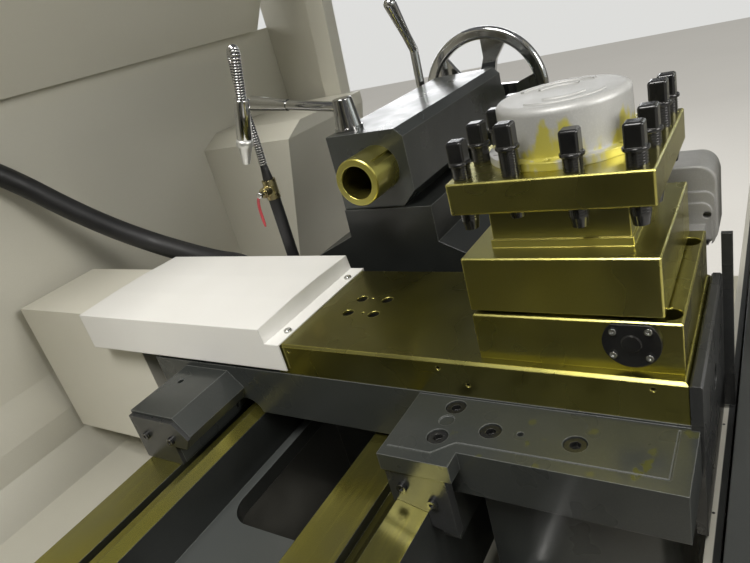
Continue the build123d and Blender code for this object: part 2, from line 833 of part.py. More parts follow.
def slide_parts():
    slide = block(turret_x - slide_half, turret_x + slide_half, slide_y0, slide_y1, slide_z0, slide_top)
    slide = chamfer(slide.edges().group_by(Axis.Z)[-1], slide_edge)
    slide -= along_y(dovetail(slip), slide_y0 - 1, slide_y1 + 1)
    nut_y = slide_y0 + 240
    slide += block(
        turret_x - nut_half, turret_x + nut_half, nut_y, nut_y + nut_long, screw_x_z - 16, slide_top - 20
    )
    slide -= rod("y", (turret_x, nut_y - 1, screw_x_z), screw_x_radius + slip, nut_long + 2)
    hole_x, hole_y0, hole_y1 = 20.0, 284.0, 327.0
    for x in (-hole_x, hole_x):
        for y in (hole_y0, hole_y1):
            slide -= rod("z", (turret_x + x, turret_y + y, slide_top - 9), 8.5, 10)
            slide -= rod("z", (turret_x + x, turret_y + y, slide_top - 22), 5, 23)
    for x, y in ((21, 309), (-18, 303)):
        slide -= rod("z", (turret_x + x, turret_y + y, slide_top - 12), 2.5, 13)
    for y, z in ((145, -11), (111, -31), (-84, -10), (371, -9)):
        slide -= rod("x", (turret_x - slide_half - 1, turret_y + y, slide_top + z), 2.5, 9)
    screws = []
    screw_y = slide_y1 - 9
    for x in (-80, 80):
        place = (turret_x + x, screw_y)
        slide -= rod("z", (*place, slide_top - 8), 3, 9)
        head = rod("z", (*place, slide_top + cover_sheet), 6, 4)
        head = fillet(head.edges().group_by(Axis.Z)[-1], 2.5)
        screws.append(head + rod("z", (*place, slide_top - 8), 3, 8 + cover_sheet))
    return {
        "cross_slide": slide,
        "slide_cover": slide_cover(screw_y),
        "slide_screws": together(screws + base_screws()),
    }


def slide_cover(screw_y):
    """The white sheet cover: a lip and two side flaps over the slide's end, then a folded hood."""
    lip_y, front, rear = slide_y1 - cover_lip, slide_y1 + cover_step, turret_y + cover_rear
    x0, x1, t = turret_x - cover_half, turret_x + cover_half, cover_sheet
    lip_top = slide_top + t

    def hood(inset):
        return [
            (x0 + inset, cover_low - inset * 2), (x0 + inset, cover_shoulder - inset),
            (turret_x - cover_flat, cover_top - inset), (turret_x + cover_flat, cover_top - inset),
            (x1 - inset, cover_shoulder - inset), (x1 - inset, cover_low - inset * 2),
        ]

    def behind(shift, low):
        """Everything behind the steep front."""
        y, over = front + shift, 30.0
        lean = cover_slope * over / (cover_top - slide_top)
        return along_x(
            [
                (y, low), (y, slide_top), (y + cover_slope, cover_top),
                (y + cover_slope + lean, cover_top + over), (rear + over, cover_top + over),
                (rear + over, low),
            ],
            x0 - 5, x1 + 5,
        )

    outer = along_y(hood(0), front - 1, rear) & behind(0, cover_low - 10)
    inner = along_y(hood(t), front - 2, rear + 1) & behind(t, cover_low - 20)
    cover = outer - inner
    cover -= block(x0 + t, x1 - t, front - 5, front + 20, cover_low - 5, slide_top)
    cover += block(x0, x1, lip_y, front + t, slide_top, lip_top)
    for x in (x0, x1 - t):
        cover += block(x, x + t, lip_y, front + t, cover_low, lip_top)
    for x in (-80, 80):
        cover -= rod("z", (turret_x + x, screw_y, slide_top - 1), 3, t + 2)
    return cover


def turret_parts():
    x, y, z = turret_x, turret_y, slide_top
    base = block(x - base_near, x + base_far, y - base_front, y + base_rear, z, z + base_height)
    base = chamfer(base.edges().group_by(Axis.Z)[-1], 1.5)
    ring_radius = 88.0
    base += rod("z", (x, y, z + base_height), ring_radius, base_gap - slip)
    for sx, sy in bolt_places:
        base -= rod("z", (x + sx, y + sy, z + 24), 11, base_height)
        base -= rod("z", (x + sx, y + sy, z), 6, 30)
    disc_x = x - base_near
    base -= rod("x", (disc_x - 1, y + worm_y, z + worm_z), 16, 30)
    disc = rod("x", (disc_x - disc_thick, y + worm_y, z + worm_z), disc_radius, disc_thick)
    disc += rod("x", (disc_x, y + worm_y, z + worm_z), 16 - slip, 12)
    disc -= block(
        disc_x - 10, disc_x + 20, y + worm_y - 40, y + worm_y + 40, z + base_height - 1, z + base_height + 20
    )
    disc += rod("x", (disc_x - disc_thick - 1.5, y + worm_y, z + worm_z), 9, 2)
    slab_z = z + base_height + base_gap
    half = block_side / 2
    tool_block = block(x - half, x + half, y - half, y + half, slab_z, slab_z + slab_height)
    tool_block = chamfer(tool_block.edges(), 1.2)
    neck_z = slab_z + slab_height
    neck = neck_side / 2
    plate_z = neck_z + neck_height
    top_z = plate_z + plate_height
    middle = block(x - neck, x + neck, y - neck, y + neck, neck_z - 2, plate_z + 2)
    middle += block(x - neck - 2, x + neck + 2, y - neck - 2, y + neck + 2, neck_z - 2, neck_z + 9)
    plate = block(x - half, x + half, y - half, y + half, plate_z, top_z)
    tool_block = tool_block + middle + chamfer(plate.edges(), 1.2)
    tool_block -= rod("z", (x, y, slab_z - 1), post_radius + slip, top_z - slab_z + 2)
    clamps = []
    lifts = [[0, 0, 12], [0, 3, 2], [4, 0, 6], [2, 8, 0]]
    for side in range(4):
        turn = Pos(x, y, 0) * Rot(Z=-90 * side)
        for along, lift in zip((-80, -27, 31), lifts[side]):
            tool_block -= turn * rod("z", (-clamp_offset, along, plate_z - 1), clamp_radius, plate_height + 2)
            clamps.append(turn * clamp_screw(-clamp_offset, along, top_z, plate_height, lift))
    base += rod("z", (x, y, z + base_height), post_radius, top_z - z - base_height)
    cap = rod("z", (x, y, top_z), cap_flange, cap_flange_height)
    cap += rod("z", (x, y, top_z + cap_flange_height), cap_radius, cap_height)
    cap = fillet(cap.edges().group_by(Axis.Z)[-1], cap_round)
    for i in range(6):
        turn = Pos(x, y, 0) * Rot(Z=60 * i + 120)
        cap -= turn * rod("z", (cap_flange - 7, 0, top_z + 3), 4, cap_flange_height)
    cap -= rod("z", (x, y, top_z - 1), cap_radius - 8, cap_height)
    return {
        "turret_base": base,
        "worm_cover": disc,
        "tool_block": tool_block,
        "clamp_screws": together(clamps),
        "turret_cap": cap,
        "turret_motor": turret_motor(),
    }


def base_screws():
    """The four hold-down screws of the toolpost and the four small ones of its round cover."""
    screws = [socket_bolt(turret_x + x, turret_y + y, slide_top + 34, 10, 6, 24) for x, y in bolt_places]
    start = turret_x - base_near - disc_thick - 2.5
    for dy, dz in ((16, 13), (-16, 15), (17, -13), (-16, -14)):
        place = (turret_y + worm_y + dy, slide_top + worm_z + dz)
        head = rod("x", (start, *place), 3.6, 2.5)
        screws.append(head - rod("x", (start - 1, *place), 1.6, 2.2))
    return screws


def clamp_screw(x, y, top_z, plate, lift):
    """A square-head tool clamping screw through the top plate."""
    low = top_z - plate - clamp_down + lift
    high = top_z + clamp_up + lift
    screw = limb((x, y, low), (x, y, low + 10), clamp_tip, clamp_radius)
    screw += rod("z", (x, y, low + 10), clamp_radius, high - low - 10)
    collar = rod("z", (x, y, high), clamp_collar, 4)
    screw += fillet(collar.edges().filter_by(GeomType.CIRCLE), 1.5)
    half = clamp_head / 2
    head = block(x - half, x + half, y - half, y + half, high + 3, high + 3 + clamp_head_height)
    head = fillet(head.edges().filter_by(Axis.Z), 2.5)
    return screw + fillet(head.edges().group_by(Axis.Z)[-1], 3)


def turret_motor():
    """The rounded aluminium motor case on a gear neck at the far side of the toolpost base."""
    y, z = turret_y + turret_motor_y, slide_top
    x0 = turret_x + turret_motor_near
    low, top, half = z + turret_motor_bottom, z + turret_motor_top, turret_motor_half
    step = 3.0
    case_end = x0 + turret_motor_case
    case = block(x0 + 2 * step, case_end, y - half, y + half, low, top)
    case = fillet(case.edges().filter_by(Axis.X), turret_motor_round)
    case = fillet(case.edges().group_by(Axis.X)[0], step)
    for inset, drop in ((step, 31), (2 * step, 44)):
        x = x0 + 2 * step - inset
        ledge = block(x, x + 2 * step, y - half + inset, y + half - inset, low + inset, top - drop)
        case += fillet(ledge.edges().filter_by(Axis.X), turret_motor_round / 2)
    drum_half, drum_low = half - 7, low + 8
    drum = block(case_end, x0 + turret_motor_long, y - drum_half, y + drum_half, drum_low, top - 21)
    drum = fillet(drum.edges().filter_by(Axis.X), turret_motor_round)
    drum = fillet(drum.edges().group_by(Axis.X)[-1], 6)
    case += drum
    hole_y = half - 11
    for dy in (-hole_y, hole_y):
        for dz in (62, 26):
            case -= rod("x", (x0 - 1, y + dy, z + dz), 4.5, 13)
    neck_half = 46.0
    return case + block(
        turret_x + base_far, x0 + step, y - neck_half, y + neck_half, low + 2 * step, z + base_height - 5
    )


def tailstock_parts():
    x0, y0, z0 = tail_x, spindle_y, spindle_z
    front_flat = y0 - front_flat_outer - 1
    section = [
        (front_flat, way_z), (front_flat, way_z + 118), (y0 - 81, way_z + 151), (y0 - 81, z0 - tail_drop),
        (y0 + 85, z0 - tail_drop), (y0 + 87, way_z + 163), (y0 + 171, way_z + 127), (y0 + 171, way_z + 90),
        (y0 + rear_v_inner - 1, way_z + 90), (y0 + rear_v_inner - 1, way_z + 28),
        (y0 + rear_v_inner + rear_v_width - 3, way_z + 28), (y0 + rear_v_inner + rear_v_width - 3, way_z),
    ]
    base = along_x(section, x0 - 5, x0 - 5 + tail_base_long)
    base -= along_x(rear_way_cut(slip), x0 - 10, x0 + tail_base_long)
    clear = y0 - front_flat_inner + 6, y0 + rear_v_inner - 10
    base -= block(x0 - 6, x0 + tail_base_long, *clear, way_z - 1, way_z + 22)
    body_section = [
        (y0 - tail_half, z0 - 41), (y0 - tail_half, z0 + 46), (y0 - tail_half + 13, z0 + tail_top),
        (y0 + tail_boss, z0 + tail_top), (y0 + tail_boss, z0 - tail_drop),
        (y0 - tail_half + 26, z0 - tail_drop),
    ]
    body = along_x(body_section, x0, x0 + tail_long)
    rear_end = x0 + tail_long
    body -= rod("x", (x0 - 1, y0, z0), quill_radius + slip, tail_long + 2)
    body -= rod("z", (lock_x, lock_y, z0 + 4), 10 + slip, tail_top)
    body -= rod("y", (lever_x - 5, y0 + tail_boss - 30, z0), 12 + slip, 31)
    cap = rod("x", (rear_end, y0, z0), 50, 28)
    cap += rod("x", (rear_end - 24, y0, z0), quill_radius, 24)
    body += cap - rod("x", (rear_end - 25, y0, z0), lead_radius + slip, 60)
    quill = rod("x", (quill_nose, y0, z0), quill_radius, quill_long)
    quill = chamfer(quill.edges().filter_by(GeomType.CIRCLE), 1.5)
    taper = 150.0
    quill -= limb((quill_nose + 8, y0, z0), (quill_nose + 8 + taper, y0, z0), quill_mouth, quill_mouth - 3.9)
    quill -= rod("x", (quill_nose - 1, y0, z0), quill_mouth, 10)
    quill -= rod("x", (quill_nose + taper, y0, z0), quill_back, quill_long)
    key = block(quill_nose + 14, quill_nose + quill_long - 30, -5, 5, quill_radius - 5, quill_radius + 2)
    quill -= Pos(0, y0, z0) * Rot(X=50) * key
    nut_x = quill_nose + quill_long - 60
    nut = rod("x", (nut_x, y0, z0), quill_radius - 5, 60)
    quill += nut - rod("x", (nut_x - 1, y0, z0), lead_radius + slip, 62)
    lead = rod("x", (quill_nose + taper + 60, y0, z0), lead_radius, wheel_x + 40 - quill_nose - taper - 60)
    return {
        "tailstock_base": base,
        "tailstock_body": body,
        "quill": quill,
        "quill_screw": lead,
        **handwheel_parts(rear_end + 28),
        **lever_parts(),
    }


def handwheel_parts(hub_x):
    y0, z0 = spindle_y, spindle_z
    rim_x, rim_long = wheel_x - wheel_rim_half, 2 * wheel_rim_half
    rim = rod("x", (rim_x, y0, z0), wheel_radius + wheel_rim, rim_long)
    rim -= rod("x", (rim_x - 1, y0, z0), wheel_radius - wheel_rim, rim_long + 2)
    rim = fillet(rim.edges().filter_by(GeomType.CIRCLE), wheel_rim_half - 1)
    wheel = rim + rod("x", (hub_x, y0, z0), wheel_hub, wheel_x + 25 - hub_x)
    foot, waist, end = wheel_hub - 6, wheel_radius * 0.6, wheel_radius - wheel_rim + 4
    for i in range(wheel_spokes):
        spoke = [
            (-17, foot), (-14, waist), (-28, end), (28, end), (14, waist), (17, foot),
        ]
        arm = along_x(spoke, wheel_x - 6, wheel_x + 6)
        wheel += Pos(0, y0, z0) * Rot(X=360 / wheel_spokes * i + 18) * arm
    wheel -= rod("x", (hub_x - 1, y0, z0), lead_radius, 200)
    knob_z = z0 - wheel_radius + 2
    pin_x = wheel_x + wheel_rim_half
    wheel += rod("x", (pin_x - 6, y0, knob_z), 5, 88)
    knob = rod("x", (pin_x + 6, y0, knob_z), 12, 74)
    knob = fillet(knob.edges().filter_by(GeomType.CIRCLE), 4)
    return {"handwheel": wheel + knob}


def lever_parts():
    top = spindle_z + tail_top
    pad, hub_long, grip_end = 5.0, 47.0, 13.8
    lock = rod("z", (lock_x, lock_y, top + slip), lock_pad, pad - slip)
    cone = limb((lock_x, lock_y, top + pad), (lock_x, lock_y, top + pad + hub_long), lock_hub, lock_hub_top)
    lock += fillet(cone.edges().group_by(Axis.Z)[-1], 2.5)
    lock += rod("z", (lock_x, lock_y, top - 45), 10, 50)
    arm_z = top + 38
    middle = (lock_x, lock_y + 113, arm_z + 18)
    tip = (lock_x, lock_y + 194, arm_z + 32)
    lock += limb((lock_x, lock_y + 5, arm_z), middle, 8.2)
    grip = limb(middle, tip, 9.7, grip_end)
    lock += fillet(grip.edges().sort_by(Axis.Y)[-1], 4)
    hub_y0 = spindle_y + tail_boss
    pivot = (lever_x - 5, spindle_z)
    lever = rod("y", (pivot[0], hub_y0 + slip, pivot[1]), 20, lever_y - hub_y0 + 12)
    lever += rod("y", (pivot[0], hub_y0 - 28, pivot[1]), 12, 32)
    knee = (lever_x, lever_y, spindle_z + 125)
    end = (lever_x - 58, lever_y, spindle_z + 224)
    mid = tuple((a + 2 * b) / 3 for a, b in zip(end, knee))
    lever += limb((pivot[0], lever_y, pivot[1]), knee, 9)
    lever += Pos(*knee) * Sphere(9)
    lever += limb(knee, mid, 9)
    lever += limb(mid, end, 9, 13) + Pos(*end) * Sphere(13)
    return {"quill_lock_lever": lock, "clamp_lever": lever}


def coolant_parts():
    x, y = pipe_x, turret_y + 555
    low = rear_wing_top
    hose_top = slide_top + 120
    hose = rod("z", (x, y, low), 16, 10) + rod("z", (x, y, low), hose_radius, hose_top - low)
    valve = rod("z", (x, y, hose_top), 12, 34)
    valve += rod("x", (x - 22, y, hose_top + 17), 9, 22)
    valve_lever = rod("x", (x - 34, y, hose_top + 17), 6, 12)
    valve_lever += block(x - 34, x - 31, y - 3, y + 3, hose_top - 42, hose_top + 17)
    neck = [
        (x, y, hose_top + 34), (x, y, hose_top + 70), (x + 2, y - 8, hose_top + 150),
        (x - 1, y - 22, hose_top + 256), (x - 28, y - 46, hose_top + 262),
        (x - 31, y - 32, hose_top + 190), (x - 31, y - 16, hose_top + 140),
    ]
    line = FilletPolyline(*neck, radius=[60, 60, 16, 16, 40])
    pipe = sweep(Plane(origin=neck[0], z_dir=(0, 0, 1)) * Circle(8), path=line)
    head = (x - 31, y - 29, hose_top + 178)
    joint = (x - 31, y - 8, hose_top + 114)
    tip = (x - 31, y + 6, hose_top + 74)
    nozzle = limb(head, joint, nozzle_radius) + limb(joint, tip, nozzle_radius - 1, 5)
    nozzle -= limb((x - 31, y - 4, hose_top + 102.6), (x - 31, y + 6.35, hose_top + 73), 3)
    return {
        "coolant_hose": hose,
        "coolant_valve": valve,
        "valve_lever": valve_lever,
        "coolant_gooseneck": pipe + nozzle,
    }


def guard_parts():
    x0, x1 = -length / 2 + sheet, guard_right
    wall = wall_inner
    inner = [
        (wall, wall_top), (wall, 774), (wall - 15, 690), (wall - 15, 632), (wall - 57, 560),
        (spindle_y + rear_flat_outer, guard_foot),
    ]
    rear = along_x(folded(inner, sheet), x0, x1)
    gland = conduit_route[-1]
    rear += block(gland[0] - 36, gland[0], gland[1] - 34, wall + 1, gland[2] - 34, gland[2] + 34)
    posts = []
    post_y = wall_inner + sheet
    for x in (x0 + 60, -430, 330, x1 - 100):
        posts.append(block(x, x + post_width, post_y, depth / 2, 0, height - 2 * sheet))
    rise = height - sheet - wall_top
    lean = rise * tan(radians(canopy_lean))
    lip = wall - canopy_lip
    hood = [(post_y, wall_top), (lip, wall_top), (lip - lean, height - sheet), (post_y, height - sheet)]
    canopy = along_x(folded(hood[::-1], sheet), x0, canopy_right)
    canopy += along_x(hood, canopy_right - sheet, canopy_right)
    end_x = length / 2
    edge_top, edge_low = 420.0, 493.0
    low_z = 640.0
    front_edge = [(edge_top, height), (edge_low, low_z)]
    panel = along_x(
        [*front_edge, (post_y, low_z), (post_y, height)], end_x - sheet, end_x
    )
    width, flange = 58.0, 47.0
    post_line = [(edge_top, height), (edge_low, low_z), (edge_low + width, low_z), (edge_top + width, height)]
    tube = along_x(post_line, end_x - flange, end_x)
    hole_line = [
        (edge_top + sheet, height + 1), (edge_low + sheet, low_z - 1), (edge_low + width - sheet, low_z - 1),
        (edge_top + width - sheet, height + 1),
    ]
    tube -= along_x(hole_line, end_x - flange + sheet, end_x - sheet)
    return {
        "rear_guard": rear,
        "guard_posts": together(posts),
        "canopy": canopy,
        "end_panel": panel + tube,
        "corner_box": corner_box(),
    }


def corner_box():
    """The closed sheet box in the rear corner by the tailstock."""
    x1 = length / 2 - corner_box_gap
    x0 = x1 - corner_box_long
    wall = wall_inner
    front_top, front_low, top = 398.0, 537.0, 1064.0
    foot_y = spindle_y + rear_flat_outer
    slope = (560 - guard_foot) / (wall - 57 - foot_y)
    low = guard_foot + (front_low - foot_y) * slope

    def outline(inset):
        return [
            (front_top + inset, top + 60), (wall + 2 * inset, top + 60), (wall + 2 * inset, 774),
            (wall - 15, 690), (wall - 15, 632), (wall - 57, 560), (front_low + inset, low),
            (front_top + inset, top),
        ]

    solid = along_x(outline(0), x0, x1)
    inner = along_x(outline(sheet), x0 + sheet, x1 - sheet)
    roof_line = [
        (x0 - 1, top), (x0 + 65, top + 31), (x1 + 1, top + 31), (x1 + 1, top + 90), (x0 - 1, top + 90),
    ]
    roof = along_y(roof_line, front_top - 100, wall + 100)
    inner_roof = Pos(0, 0, -sheet) * roof
    return (solid - roof) - (inner - inner_roof)


def front_parts():
    x0, x1 = -length / 2, length / 2
    sill_left = bed_left + head_length + 160
    sill_line = [
        (guard_front, rail_low), (guard_front, sill_top),
        (sill_inner, sill_top), (sill_inner, cabinet_top + 2),
    ]
    sill = along_x(folded(sill_line, -sheet), sill_left, x1 - sheet)
    rear_y = spindle_y + rear_flat_outer
    tray = block(bed_left, x1 - sheet, sill_inner - sheet, rear_y, cabinet_top, bed_bottom)
    tray += block(tray_left, guard_right, tray_lip_y - sheet, tray_lip_y, cabinet_top, tray_lip_z)
    tray += block(tray_left, guard_right, tray_lip_y - 15, tray_lip_y, tray_lip_z - sheet, tray_lip_z)
    tray += block(tray_left, tray_left + sheet, tray_lip_y, -295, cabinet_top, cabinet_top + 90)
    tray += block(x1 - 2 * sheet, x1 - sheet, tray_lip_y, rear_y, cabinet_top, cabinet_top + 90)
    left = block(x0, sill_left, guard_front, guard_front + sheet, rail_low, height)
    left += block(x0, x0 + sheet, guard_front, wall_inner, rail_low, height)
    left += block(sill_left - sheet, sill_left, guard_front, guard_front + 60, rail_low, height)
    left -= rod("x", (x0 - 1, spindle_y, spindle_z), spindle_radius, 2 * sheet)
    rail_y0, rail_y1 = door_front - 8, guard_front
    low_rail = block(sill_left, x1 - sheet, rail_y0, rail_y1, sill_top - 75, sill_top - 55)
    high_rail = block(x0, x1, rail_y0, rail_y1, height - 60, height)
    high_rail -= block(x0 + 5, x1 - 5, rail_y0 + 5, rail_y1 - 5, height - 61, height - 5)
    right = block(x1 - door_gap - 70, x1, guard_front, guard_front + sheet, sill_top, height)
    right += block(x1 - sheet, x1, guard_front, sill_inner, sill_top, height)
    return {
        "chip_tray": tray + sill + low_rail,
        "front_guard": left + right + high_rail,
        **door_parts(),
        **panel_parts(),
    }


def door_parts():
    x0, x1 = door_left, door_left + door_width
    z0, z1 = sill_top - 55 + slip, height - 60 + 40
    y0 = door_front
    door = block(x0, x1, y0, y0 + door_thick, z0, height - 60 - slip)
    door += block(x0 + 20, x1 - 20, y0 + 8, y0 + door_thick - 8, z0 + 50, z1)
    border, sash = 110.0, 14.0
    wx0, wx1, wz0, wz1 = x0 + border, x1 - border, z0 + 335, height - 200
    door -= block(wx0, wx1, y0 - 1, y0 + door_thick + 1, wz0, wz1)
    inner = y0 + door_thick / 2
    door -= block(wx0 - sash, wx1 + sash, inner - 4, inner + 4, wz0 - sash, wz1 + sash)
    glass = block(wx0 - sash, wx1 + sash, inner - 4, inner + 4, wz0 - sash, wz1 + sash)
    handle_x, handle_y = x0 + 45, -depth / 2 + 9
    handle = rod("z", (handle_x, handle_y, handle_low), 9, handle_long)
    for z in (handle_low + handle_inset, handle_low + handle_long - handle_inset):
        handle += rod("y", (handle_x, handle_y, z), 7, y0 - handle_y)
    return {"sliding_door": door + handle, "door_window": glass}


def panel_parts():
    x0, x1, z0, z1 = bed_left + 100, head_right + 60, 1080.0, 1500.0
    y0, y1 = guard_front - 55, guard_front
    case = block(x0, x1, y0, y1, z0, z1)
    case = fillet(case.edges().filter_by(Axis.Y), 12)
    case -= block(x0 + 4, x1 - 4, y0 + 4, y1 + 1, z0 + 4, z1 - 4)
    screen = (x0 + 40, x1 - 40, z0 + 190, z1 - 40)
    case -= block(screen[0], screen[1], y0 - 1, y0 + 1.5, screen[2], screen[3])
    places = {"emergency_stop": (x0 + 70, 20), "start_button": (x0 + 190, 13)}
    parts = {}
    for name, (x, radius) in places.items():
        z = z0 + 95
        case -= rod("y", (x, y0 - 1, z), radius * 0.6 + slip, 6)
        button = rod("y", (x, y0 - 14, z), radius, 8)
        button = fillet(button.edges().group_by(Axis.Y)[0], 3)
        parts[name] = button + rod("y", (x, y0 - 6, z), radius * 0.6, 22)
    return {"control_panel": case, **parts}


def conduit_parts():
    """The black conduit from the carriage's gland to the rear wall, over its real route."""
    radii = []
    for a, b, c in zip(conduit_route, conduit_route[1:], conduit_route[2:]):
        back, on = Vector(*b) - Vector(*a), Vector(*c) - Vector(*b)
        turn = radians(back.get_angle(on))
        radii.append(0.45 * min(back.length, on.length) / tan(turn / 2))
    print("conduit radii", [round(r) for r in radii])
    line = FilletPolyline(*conduit_route, radius=radii)
    tube = sweep(Plane(origin=conduit_route[0], z_dir=(0, 0, 1)) * Circle(conduit_radius), path=line)
    section = pi * conduit_radius**2
    print("conduit volume over section times length", round(tube.volume / (section * line.length), 4))
    return {"cable_conduit": tube}


parts = {
    **base_parts(),
    **bed_parts(),
    **drive_parts(),
    **chuck_parts(),
    **saddle_parts(),
    **wiper_parts(),
    **apron_parts(),
    **plate_parts(),
    **screw_parts(),
    **slide_parts(),
    **turret_parts(),
    **tailstock_parts(),
    **coolant_parts(),
    **guard_parts(),
    **front_parts(),
    **conduit_parts(),
}

os.makedirs("parts", exist_ok=True)
for name, shape in parts.items():
    export_step(shape, f"parts/{name}.step")
print(len(parts), "nodes")
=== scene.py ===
import json
from math import cos, pi, radians, sin

import bpy
from mathutils import Matrix, Vector


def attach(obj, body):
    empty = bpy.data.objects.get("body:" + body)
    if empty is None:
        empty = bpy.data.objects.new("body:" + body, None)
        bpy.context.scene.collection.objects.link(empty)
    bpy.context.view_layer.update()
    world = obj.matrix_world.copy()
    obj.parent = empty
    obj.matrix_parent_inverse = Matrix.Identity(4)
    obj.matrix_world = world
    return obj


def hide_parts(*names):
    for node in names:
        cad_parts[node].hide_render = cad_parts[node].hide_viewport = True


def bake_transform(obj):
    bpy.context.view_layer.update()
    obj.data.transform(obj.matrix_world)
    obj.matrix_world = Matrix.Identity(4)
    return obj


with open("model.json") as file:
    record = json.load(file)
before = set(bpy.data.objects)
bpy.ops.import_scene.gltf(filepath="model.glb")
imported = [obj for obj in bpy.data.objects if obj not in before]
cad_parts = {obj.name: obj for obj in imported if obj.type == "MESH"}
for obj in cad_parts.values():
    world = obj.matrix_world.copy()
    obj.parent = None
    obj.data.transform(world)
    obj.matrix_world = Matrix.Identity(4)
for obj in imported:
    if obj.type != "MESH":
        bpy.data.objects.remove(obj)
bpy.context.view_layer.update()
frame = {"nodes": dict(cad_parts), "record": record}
cad = frame["nodes"]

# Toolpost, in metres as in the part's source
turret = Vector((0.25, -0.425, 0.93))
neck_low = 1.0518
plate_low, plate_top = 1.0997, 1.1327
plate_gap = 0.0006
cap_top = 1.1877
stain_low, stain_high, stain_end = plate_top + 0.003, cap_top - 0.006, cap_top - 0.010

# Clamping screws: their grid, how far each is screwed out on each side, and their thread
clamp_offset = 0.083
clamp_along = (-0.080, -0.027, 0.031)
clamp_lifts = ((0, 0, 0.012), (0, 0.003, 0.002), (0.004, 0, 0.006), (0.002, 0.008, 0))
clamp_radius = 0.009
clamp_up, clamp_down = 0.014, 0.010
thread_pitch = 0.0025
thread_sides = 14
thread_sunk, thread_proud = 0.0004, 0.0007
thread_crest, thread_end = 0.42, 0.84

# Raised bands on the cap: radius, width, and the angles where each starts and stops
band_arcs = (
    (0.047, 0.005, 150, 250), (0.047, 0.005, -30, 70),
    (0.030, 0.004, 160, 240), (0.030, 0.004, -20, 60),
)
band_rise, band_sunk, band_slope, band_steps = 0.0011, 0.0002, 0.0007, 24

# Slide, ways, wings and sill
slide_top = 0.93
slide_width = (0.1398, 0.3602)
slide_length = (-0.5387, -0.0258)
# Depth below the slide's top from which the insides of its holes are painted dark as shade
hole_shade = 0.003
worm_screws_x, cover_screws_y = 0.149, -0.2
way_foot = 0.776
# Where painted shade on the ways fades out: strongest in front of the first y and gone behind the
# second
way_shadow_y = (-0.20, -0.10)
wing_skin = 0.872
sill_lip = -0.556
# The lip's two small holes, darkened as painted shade, at (x, y, radius)
sill_holes = [(0.326, -0.5523, 0.0016), (0.177, -0.5523, 0.0016)]
wing_smear = [
    (0.062, -0.500, 0.003), (0.068, -0.505, 0.0045), (0.076, -0.510, 0.005),
    (0.084, -0.511, 0.004),
]
wing_spots = [
    (0.129, -0.541, 0.005), (0.116, -0.394, 0.0035), (0.091, -0.411, 0.003),
    (0.082, -0.398, 0.0025), (0.114, -0.456, 0.003), (0.098, -0.512, 0.0035),
    (0.079, -0.318, 0.003), (0.052, -0.356, 0.003), (0.052, -0.415, 0.003),
    (0.056, -0.465, 0.003),
]

# Cable conduit, from the carriage's gland to the rear guard
conduit_radius, conduit_sides = 0.021, 28
conduit_route = [
    (0.400, 0.214, 0.802), (0.400, 0.214, 0.858), (0.406, 0.236, 0.896), (0.412, 0.284, 0.917),
    (0.412, 0.341, 0.922), (0.407, 0.412, 0.942), (0.390, 0.486, 0.975), (0.356, 0.548, 1.025),
    (0.314, 0.604, 1.091), (0.272, 0.646, 1.161), (0.222, 0.670, 1.219), (0.164, 0.674, 1.253),
    (0.106, 0.672, 1.264), (0.054, 0.672, 1.264),
]

# Coolant gooseneck: its route, the ridges of its neck, and the nozzle
riser_foot = (0.400, 0.130, 1.084)
riser_route = [
    (0.400, 0.130, 1.110), (0.400, 0.128, 1.150), (0.400, 0.130, 1.200), (0.400, 0.128, 1.258),
    (0.400, 0.121, 1.296), (0.372, 0.085, 1.298), (0.369, 0.092, 1.262), (0.369, 0.101, 1.226),
]
ring_pitch, ring_steps = 0.0041, 6
ring_root, ring_height, core_radius = 0.0048, 0.0024, 0.0060
neck_widening, neck_widens_at, neck_widens_by = 0.0014, 0.60, 8
neck_sides, core_sides, core_every = 20, 16, 3
nozzle_joint = (0.369, 0.122, 1.164)
nozzle_tip = (0.369, 0.136, 1.124)
nozzle_sides, connector_sides = 28, 24

# Coolant tap: its curved blade and its nut
lever_line = [
    (0.3670, 0.1310, 1.0660), (0.3672, 0.1370, 1.0590), (0.3680, 0.1405, 1.0440),
    (0.3680, 0.1408, 1.0270), (0.3665, 0.1390, 1.0110),
]
blade_thick, blade_wide, blade_sides = 0.0014, 0.0034, 12
blade_end_share, blade_end_step = 0.55, 0.15
nut_foot, nut_tip, nut_sides = (0.3655, 0.130, 1.067), (0.379, 0.130, 1.067), 6

# Shares of a noise between which a finish goes from one state to the other
patch_noise, fleck_noise, gloss_noise = (0.32, 0.68), (0.45, 0.75), (0.3, 0.7)
fleck_share = 0.35
coat_roughness = 0.12


def node(tree, kind, links=None, **settings):
    """One shader node with its settings, its links and its constants."""
    made = tree.nodes.new("ShaderNode" + kind)
    for key, value in settings.items():
        setattr(made, key, value)
    for key, value in (links or {}).items():
        if isinstance(value, bpy.types.NodeSocket):
            tree.links.new(value, made.inputs[key])
        else:
            made.inputs[key].default_value = value
    return made


def noise(tree, place, scale, detail=3.0, rough=0.55):
    inputs = {"Vector": place, "Scale": scale, "Detail": detail, "Roughness": rough}
    return node(tree, "TexNoise", inputs).outputs["Fac"]


def spread(tree, value, low, high, a=0.0, b=1.0):
    """A value taken smoothly from low..high to a..b."""
    inputs = {"Value": value, "From Min": low, "From Max": high, "To Min": a, "To Max": b}
    return node(tree, "MapRange", inputs, interpolation_type="SMOOTHSTEP").outputs["Result"]


def mix(tree, share, a, b):
    return node(tree, "Mix", {0: share, 6: a, 7: b}, data_type="RGBA").outputs[2]


def mix_value(tree, share, a, b):
    return node(tree, "Mix", {0: share, 2: a, 3: b}).outputs[0]


def math(tree, kind, a, b=0.0):
    return node(tree, "Math", {0: a, 1: b}, operation=kind).outputs[0]


def axes(tree, vector):
    return node(tree, "SeparateXYZ", {0: vector}).outputs


def scaled(tree, place, scale):
    return node(tree, "Mapping", {"Vector": place, "Scale": scale}).outputs["Vector"]


def facing(tree, axis):
    """How far the true surface faces along one axis, from -1 to 1."""
    return axes(tree, node(tree, "NewGeometry").outputs["True Normal"])[axis]


